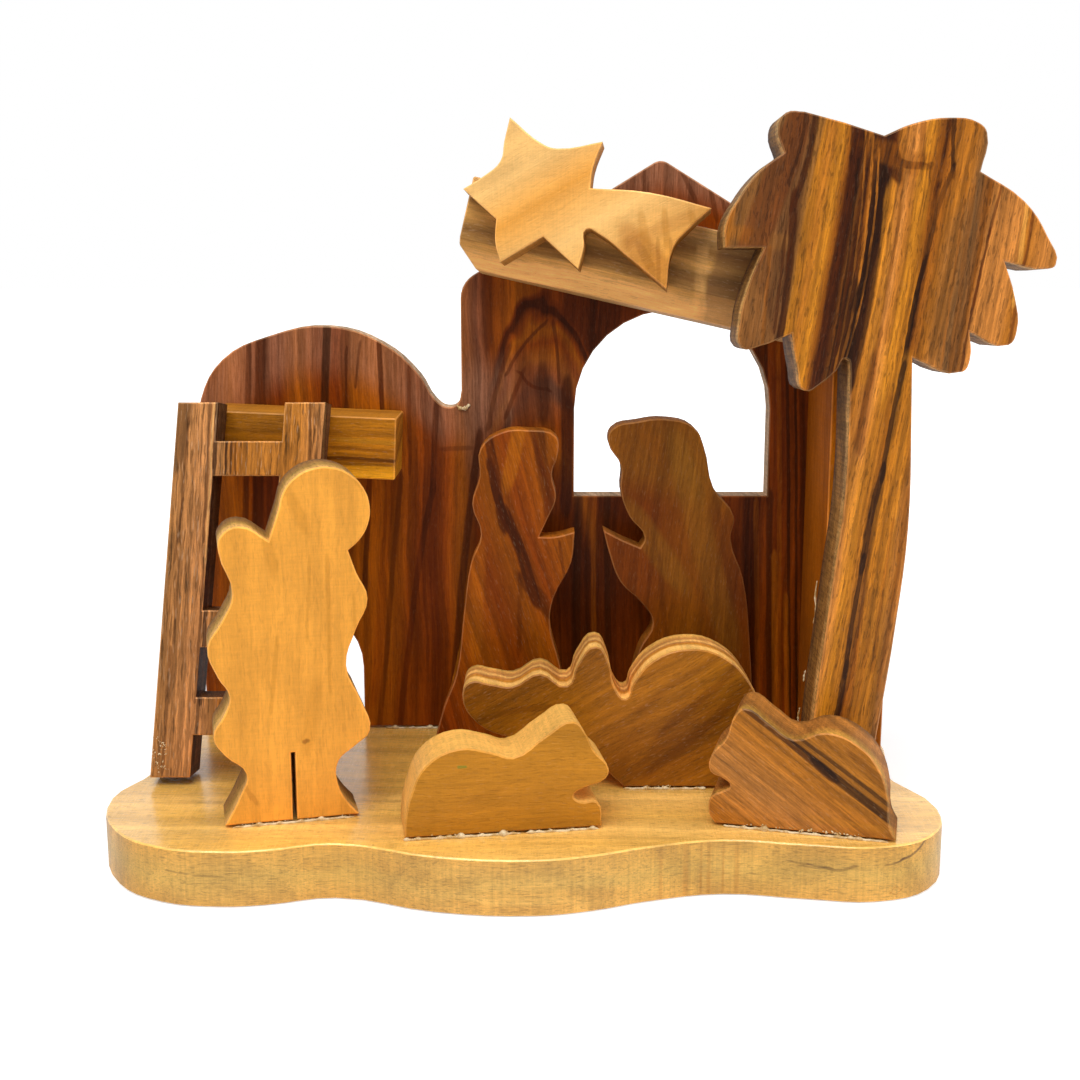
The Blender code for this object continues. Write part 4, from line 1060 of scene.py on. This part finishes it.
class StageSettings(bpy.types.PropertyGroup):
    """Camera, lamps and floor."""

    focal: FloatProperty(
        name="Focal length", description="Lens of the camera in millimetres", unit="CAMERA", min=10, max=200,
        default=FOCAL,
    )
    key_power: FloatProperty(
        name="Key lamp", description="Power of the large lamp above the front", unit="POWER", subtype="POWER",
        min=0, max=50, default=2.4,
    )
    ambient: FloatProperty(
        name="Ambient", description="Strength of the room's light", min=0, max=2, default=0.45
    )
    floor_tone: FloatVectorProperty(
        name="Floor tone", description="Colour of the floor", subtype="COLOR", size=3, min=0, max=1,
        default=(0.75, 0.75, 0.75),
    )


def board_to_scene(name, points):
    """Points in a board's own millimetres as points of the scene in metres: place + turn . point."""
    matrix = np.array(board_turn(name).to_matrix())
    return (np.asarray(points, float) @ matrix.T + np.array(BOARDS[name][0])) * MM


def along_points(points, count):
    """A smooth path through a few points: each coordinate is a cubic with Catmull-Rom slopes."""
    points = np.asarray(points, float)
    padded = np.vstack([2 * points[0] - points[1], points, 2 * points[-1] - points[-2]])
    at = np.linspace(0, len(points) - 1, count)
    cell = np.minimum(at.astype(int), len(points) - 2)
    t = (at - cell)[:, None]
    p0, p1, p2, p3 = (padded[cell + k] for k in range(4))
    square, cube = 2 * p0 - 5 * p1 + 4 * p2 - p3, 3 * p1 - p0 - 3 * p2 + p3
    return 0.5 * (2 * p1 + (p2 - p0) * t + square * t**2 + cube * t**3)


def round_tube(path, radii, sides=10):
    """Points and faces of a closed tube: P(s, t) = C(s) + r(s) (cos t . side(s) + sin t . up(s)).

    side is across the path and level, up is square to both, and each end closes in a fan to the path's end.
    """
    run = np.gradient(path, axis=0)
    run /= np.linalg.norm(run, axis=1, keepdims=True)
    lead = np.where(np.abs(run[:, 2:]) > 0.8, [[1.0, 0.0, 0.0]], [[0.0, 0.0, 1.0]])
    side = np.cross(run, lead)
    side /= np.linalg.norm(side, axis=1, keepdims=True)
    up = np.cross(side, run)
    angle = np.linspace(0, 2 * np.pi, sides, endpoint=False)
    ring = np.cos(angle)[None, :, None] * side[:, None] + np.sin(angle)[None, :, None] * up[:, None]
    rings = path[:, None] + radii[:, None, None] * ring
    rows, columns = np.meshgrid(np.arange(len(path) - 1), np.arange(sides), indexing="ij")
    first, after = rows * sides + columns, rows * sides + (columns + 1) % sides
    quads = np.stack([first, first + sides, after + sides, after], axis=-1).reshape(-1, 4)
    count = len(path) * sides
    around = np.arange(sides)
    low = np.stack([np.full(sides, count), around, (around + 1) % sides], axis=-1)
    last = count - sides
    high = np.stack([np.full(sides, count + 1), last + (around + 1) % sides, last + around], axis=-1)
    points = np.vstack([rings.reshape(-1, 3), path[:1], path[-1:]])
    return points, quads.tolist() + low.tolist() + high.tolist()


def joined(shapes):
    """Several (points, faces) as one."""
    points, faces, start = [], [], 0
    for some_points, some_faces in shapes:
        points.append(some_points)
        faces += [[start + corner for corner in face] for face in some_faces]
        start += len(some_points)
    return np.vstack(points), faces


def glue_piece(name, shapes, material):
    """One piece of dried glue made of several closed shapes."""
    points, faces = joined(shapes)
    mesh = bpy.data.meshes.new(name)
    mesh.from_pydata(points.tolist(), [], faces)
    shape = bmesh.new()
    shape.from_mesh(mesh)
    bmesh.ops.recalc_face_normals(shape, faces=shape.faces)
    shape.to_mesh(mesh)
    shape.free()
    mesh.shade_smooth()
    mesh.materials.append(material)
    piece = added(name, mesh)
    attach(piece, BODY)


def bead_shape(board, start, end, radius, chance):
    """A squeezed-out bead: r(s) = max(R (0.45 + 1.1 . waves), thinnest) (1 - 0.98 |2s - 1|^16).

    The waves are the mean of a few sines along the bead, and the last factor all but closes its ends.
    """
    share = np.linspace(0, 1, BEAD_STEPS)
    reach = math.dist(start, end)
    sines = [np.sin(2 * np.pi * (share * reach / length + chance.random())) for length in BEAD_WAVES]
    waves = sum(sines) / len(sines)
    radii = np.maximum(radius * (0.45 + 1.1 * waves), THINNEST_BEAD)
    radii *= 1 - np.abs(2 * share - 1) ** 16 * 0.98
    centre = np.array(start) + share[:, None] * (np.array(end) - np.array(start))
    centre[:, 1] += 0.06 * waves
    return round_tube(board_to_scene(board, centre), radii * MM)


def thread_shape(board, points, radius, chance):
    """A thread of glue along a curve: r(s) = R (0.8 + 0.2 sin) times the square root of (1 - |2s - 1|^4)."""
    share = np.linspace(0, 1, THREAD_STEPS)
    radii = radius * (0.8 + 0.2 * np.sin(2 * np.pi * (3 * share + chance.random())))
    radii *= np.sqrt(np.clip(1 - np.abs(2 * share - 1) ** 4, 0.002, 1))
    return round_tube(board_to_scene(board, along_points(points, THREAD_STEPS)), radii * MM)


def drop_shapes(board, corner, spread, count, size, chance):
    """Drops of glue on a face: each is an ellipsoid about a short axis, r(x) = R sqrt(1 - x^2), half sunk."""
    x = np.cos(np.linspace(np.pi * 0.97, np.pi * 0.03, DROP_STEPS))
    shapes = []
    for _ in range(count):
        u, v = chance.random(2) * spread
        radius = size * (0.35 + 0.9 * chance.random() ** 2)
        turn = chance.random() * np.pi
        axis = np.array([math.cos(turn), math.sin(turn), 0.0]) * radius * (1.0 + chance.random())
        centre = np.array(corner) + (u, v, 0)
        path = centre + x[:, None] * axis
        shapes.append(round_tube(board_to_scene(board, path), radius * np.sqrt(1 - x**2) * MM, 7))
    return shapes


def dried_glue(settings):
    """Clear yellowish glue with a wrinkled skin."""
    material = bpy.data.materials.new("dried_glue")
    material.use_nodes = True
    w = Wiring(material.node_tree)
    place = w.scaled(w.value("TexCoord", output="Object"), 1 / MM)
    cloud = w.step(w.noise(place), 0.35, 0.65)
    wrinkles = w.noise(w.scaled(place, 3.0))
    finish = {
        "Base Color": w.mix(cloud, (*settings.clear_tone, 1), (*settings.milky_tone, 1)),
        "Roughness": w.affine(cloud, 0.25, 0.12),
        "Normal": w.value("Bump", {"Strength": 0.6, "Distance": 0.05 * MM, "Height": wrinkles}),
        "IOR": 1.47,
        "Transmission Weight": 0.1,
    }
    w.feed(material.node_tree.nodes["Principled BSDF"], finish)
    return material


class GlueSettings(bpy.types.PropertyGroup):
    """The glue that squeezed out."""

    bead_size: FloatProperty(
        name="Bead size", description="Factor on the radius of every bead", subtype="FACTOR",
        min=0.2, max=2, default=1.0,
    )
    clear_tone: FloatVectorProperty(
        name="Clear glue", description="Colour of clear glue", subtype="COLOR", size=3, min=0, max=1,
        default=(0.55, 0.34, 0.12),
    )
    milky_tone: FloatVectorProperty(
        name="Milky glue", description="Colour where the glue dried milky", subtype="COLOR", size=3,
        min=0, max=1, default=(0.82, 0.66, 0.40),
    )


def finish_boards(*names):
    """Finishes boards by name. Each has a seed of its own, by its place in the alphabet."""
    for name in names:
        finished_board(name, FIRST_SEED + SEED_STEP * sorted(BOARDS).index(name))
    return {"FINISHED"}


class NATIVITY_OT_base(bpy.types.Operator):
    """Finish the scalloped base"""

    bl_idname = "nativity.base"
    bl_label = "Base"

    def execute(self, context):
        return finish_boards("base")


class NATIVITY_OT_stable(bpy.types.Operator):
    """Finish the stable: wall, post and roof bar"""

    bl_idname = "nativity.stable"
    bl_label = "Stable"

    def execute(self, context):
        return finish_boards("back_wall", "side_post", "roof_bar")


class NATIVITY_OT_star(bpy.types.Operator):
    """Finish the star with its tail"""

    bl_idname = "nativity.star"
    bl_label = "Star"

    def execute(self, context):
        return finish_boards("star")


class NATIVITY_OT_palm(bpy.types.Operator):
    """Finish the palm tree"""

    bl_idname = "nativity.palm"
    bl_label = "Palm tree"

    def execute(self, context):
        return finish_boards("palm_tree")


class NATIVITY_OT_ladder(bpy.types.Operator):
    """Finish the ladder and the rail it leans on"""

    bl_idname = "nativity.ladder"
    bl_label = "Ladder and rail"

    def execute(self, context):
        return finish_boards("cross_rail", "ladder")


class NATIVITY_OT_figures(bpy.types.Operator):
    """Finish the three standing figures"""

    bl_idname = "nativity.figures"
    bl_label = "Figures"

    def execute(self, context):
        return finish_boards("shepherd", "mary", "joseph")


class NATIVITY_OT_animals(bpy.types.Operator):
    """Finish the two sheep and the donkey"""

    bl_idname = "nativity.animals"
    bl_label = "Animals"

    def execute(self, context):
        return finish_boards("sheep_left", "sheep_right", "donkey")


class NATIVITY_OT_glue(bpy.types.Operator):
    """Lay the beads, threads and spatters of glue"""

    bl_idname = "nativity.glue"
    bl_label = "Glue"

    def execute(self, context):
        settings = context.scene.nativity_glue
        chance = np.random.default_rng(GLUE_SEED)
        material = dried_glue(settings)
        beads = [bead_shape(*row[:3], row[3] * settings.bead_size, chance) for row in BEADS]
        glue_piece("glue_beads", beads, material)
        glue_piece("glue_threads", [thread_shape(*row, chance) for row in THREADS], material)
        drops = [drop for row in SPATTERS for drop in drop_shapes(*row, chance)]
        glue_piece("glue_spatters", drops, material)
        return {"FINISHED"}


def lamp(name, place, size, power):
    """A square area lamp that looks at the middle of the scene."""
    light = bpy.data.lights.new(name, "AREA")
    light.shape = "SQUARE"
    light.size = size
    light.energy = power
    made = added(name, light)
    made.location = place
    made.rotation_euler = (Vector(AIM) - Vector(place)).to_track_quat("-Z", "Y").to_euler()


def ray(w, kind):
    return w.value("LightPath", output=f"Is {kind} Ray")


def room(strength):
    """World: even light for the wood, and white wherever the camera, a reflection or glass looks past it."""
    world = bpy.data.worlds.new("studio_room")
    bpy.context.scene.world = world
    world.use_nodes = True
    w = Wiring(world.node_tree)
    w.tree.nodes.clear()
    _, depth, height = w.parts(w.value("TexCoord", output="Generated"))
    mirrored = w.maths("MAXIMUM", w.step(depth, -0.35, 0.25, 0.04, 1.0), w.step(height, 0.2, 0.9, 0.0, 0.8))
    level = ray(w, "Glossy") * (mirrored - strength) + strength
    level = w.maths("MAXIMUM", level, w.maths("MAXIMUM", ray(w, "Camera"), ray(w, "Transmission")))
    w.node("OutputWorld", {"Surface": w.value("Background", {"Color": (1, 1, 1, 1), "Strength": level})})


def floor_surface(tone):
    """The floor: white to the camera, where the object's shadow stays."""
    ways = ((-1, -1), (1, -1), (1, 1), (-1, 1))
    corners = [(x * FLOOR_HALF, y * FLOOR_HALF, FLOOR_HEIGHT) for x, y in ways]
    mesh = bpy.data.meshes.new("floor")
    mesh.from_pydata(corners, [], [(0, 1, 2, 3)])
    floor = added("floor", mesh)
    material = bpy.data.materials.new("white_floor")
    material.use_nodes = True
    w = Wiring(material.node_tree)
    place = w.value("TexCoord", output="Object")
    mirrored = ray(w, "Glossy") * w.step(w.parts(place)[1], -0.05, 0.05)
    seen = w.maths("MAXIMUM", ray(w, "Camera"), w.maths("MAXIMUM", mirrored, ray(w, "Transmission")))
    glow = seen * w.step(w.vector("LENGTH", place), 0.07, 0.30, FLOOR_GLOW, 1.0)
    finish = {
        "Base Color": (*tone, 1),
        "Roughness": 0.6,
        "Specular IOR Level": 0.0,
        "Emission Color": w.combined(glow, glow, glow),
        "Emission Strength": 1.0,
    }
    w.feed(material.node_tree.nodes["Principled BSDF"], finish)
    mesh.materials.append(material)


class NATIVITY_OT_stage(bpy.types.Operator):
    """Set the floor, the room, the lamps and the camera"""

    bl_idname = "nativity.stage"
    bl_label = "Stage"

    def execute(self, context):
        settings = context.scene.nativity_stage
        context.scene.view_settings.view_transform = "Standard"
        room(settings.ambient)
        floor_surface(settings.floor_tone)
        lamp("key", KEY_PLACE, KEY_SIZE, settings.key_power)
        lamp("side", SIDE_PLACE, SIDE_SIZE, settings.key_power * SIDE_SHARE)
        lens = bpy.data.cameras.new("camera")
        lens.lens = settings.focal
        lens.sensor_width = SENSOR
        lens.clip_start = 0.005
        lens.clip_end = 20
        camera = added("camera", lens)
        camera.location = CAMERA_PLACE
        camera.rotation_euler = (CAMERA_PITCH, 0, 0)
        context.scene.camera = camera
        return {"FINISHED"}


class NATIVITY_PT_panel(bpy.types.Panel):
    """Lists the pieces and the stage"""

    bl_idname = "NATIVITY_PT_panel"
    bl_label = "Nativity scene"
    bl_space_type = "VIEW_3D"
    bl_region_type = "UI"
    bl_category = "Nativity"

    def draw(self, context):
        for operator in OPERATORS:
            self.layout.operator(operator.bl_idname)
        for group, kind in SETTINGS.items():
            box = self.layout.box()
            for name in kind.__annotations__:
                box.prop(getattr(context.scene, group), name)


OPERATORS = (
    NATIVITY_OT_base,
    NATIVITY_OT_stable,
    NATIVITY_OT_star,
    NATIVITY_OT_palm,
    NATIVITY_OT_ladder,
    NATIVITY_OT_figures,
    NATIVITY_OT_animals,
    NATIVITY_OT_glue,
    NATIVITY_OT_stage,
)
SETTINGS = {
    "nativity_tones": ToneSettings,
    "nativity_wood": WoodSettings,
    "nativity_glue": GlueSettings,
    "nativity_stage": StageSettings,
}
CLASSES = (*SETTINGS.values(), *OPERATORS, NATIVITY_PT_panel)


def register():
    for kind in CLASSES:
        bpy.utils.register_class(kind)
    for group, kind in SETTINGS.items():
        setattr(bpy.types.Scene, group, PointerProperty(type=kind))


def unregister():
    for group in SETTINGS:
        delattr(bpy.types.Scene, group)
    for kind in reversed(CLASSES):
        bpy.utils.unregister_class(kind)


def main():
    register()
    for operator in OPERATORS:
        area, action = operator.bl_idname.split(".")
        getattr(getattr(bpy.ops, area), action)()


if __name__ == "__main__":
    main()
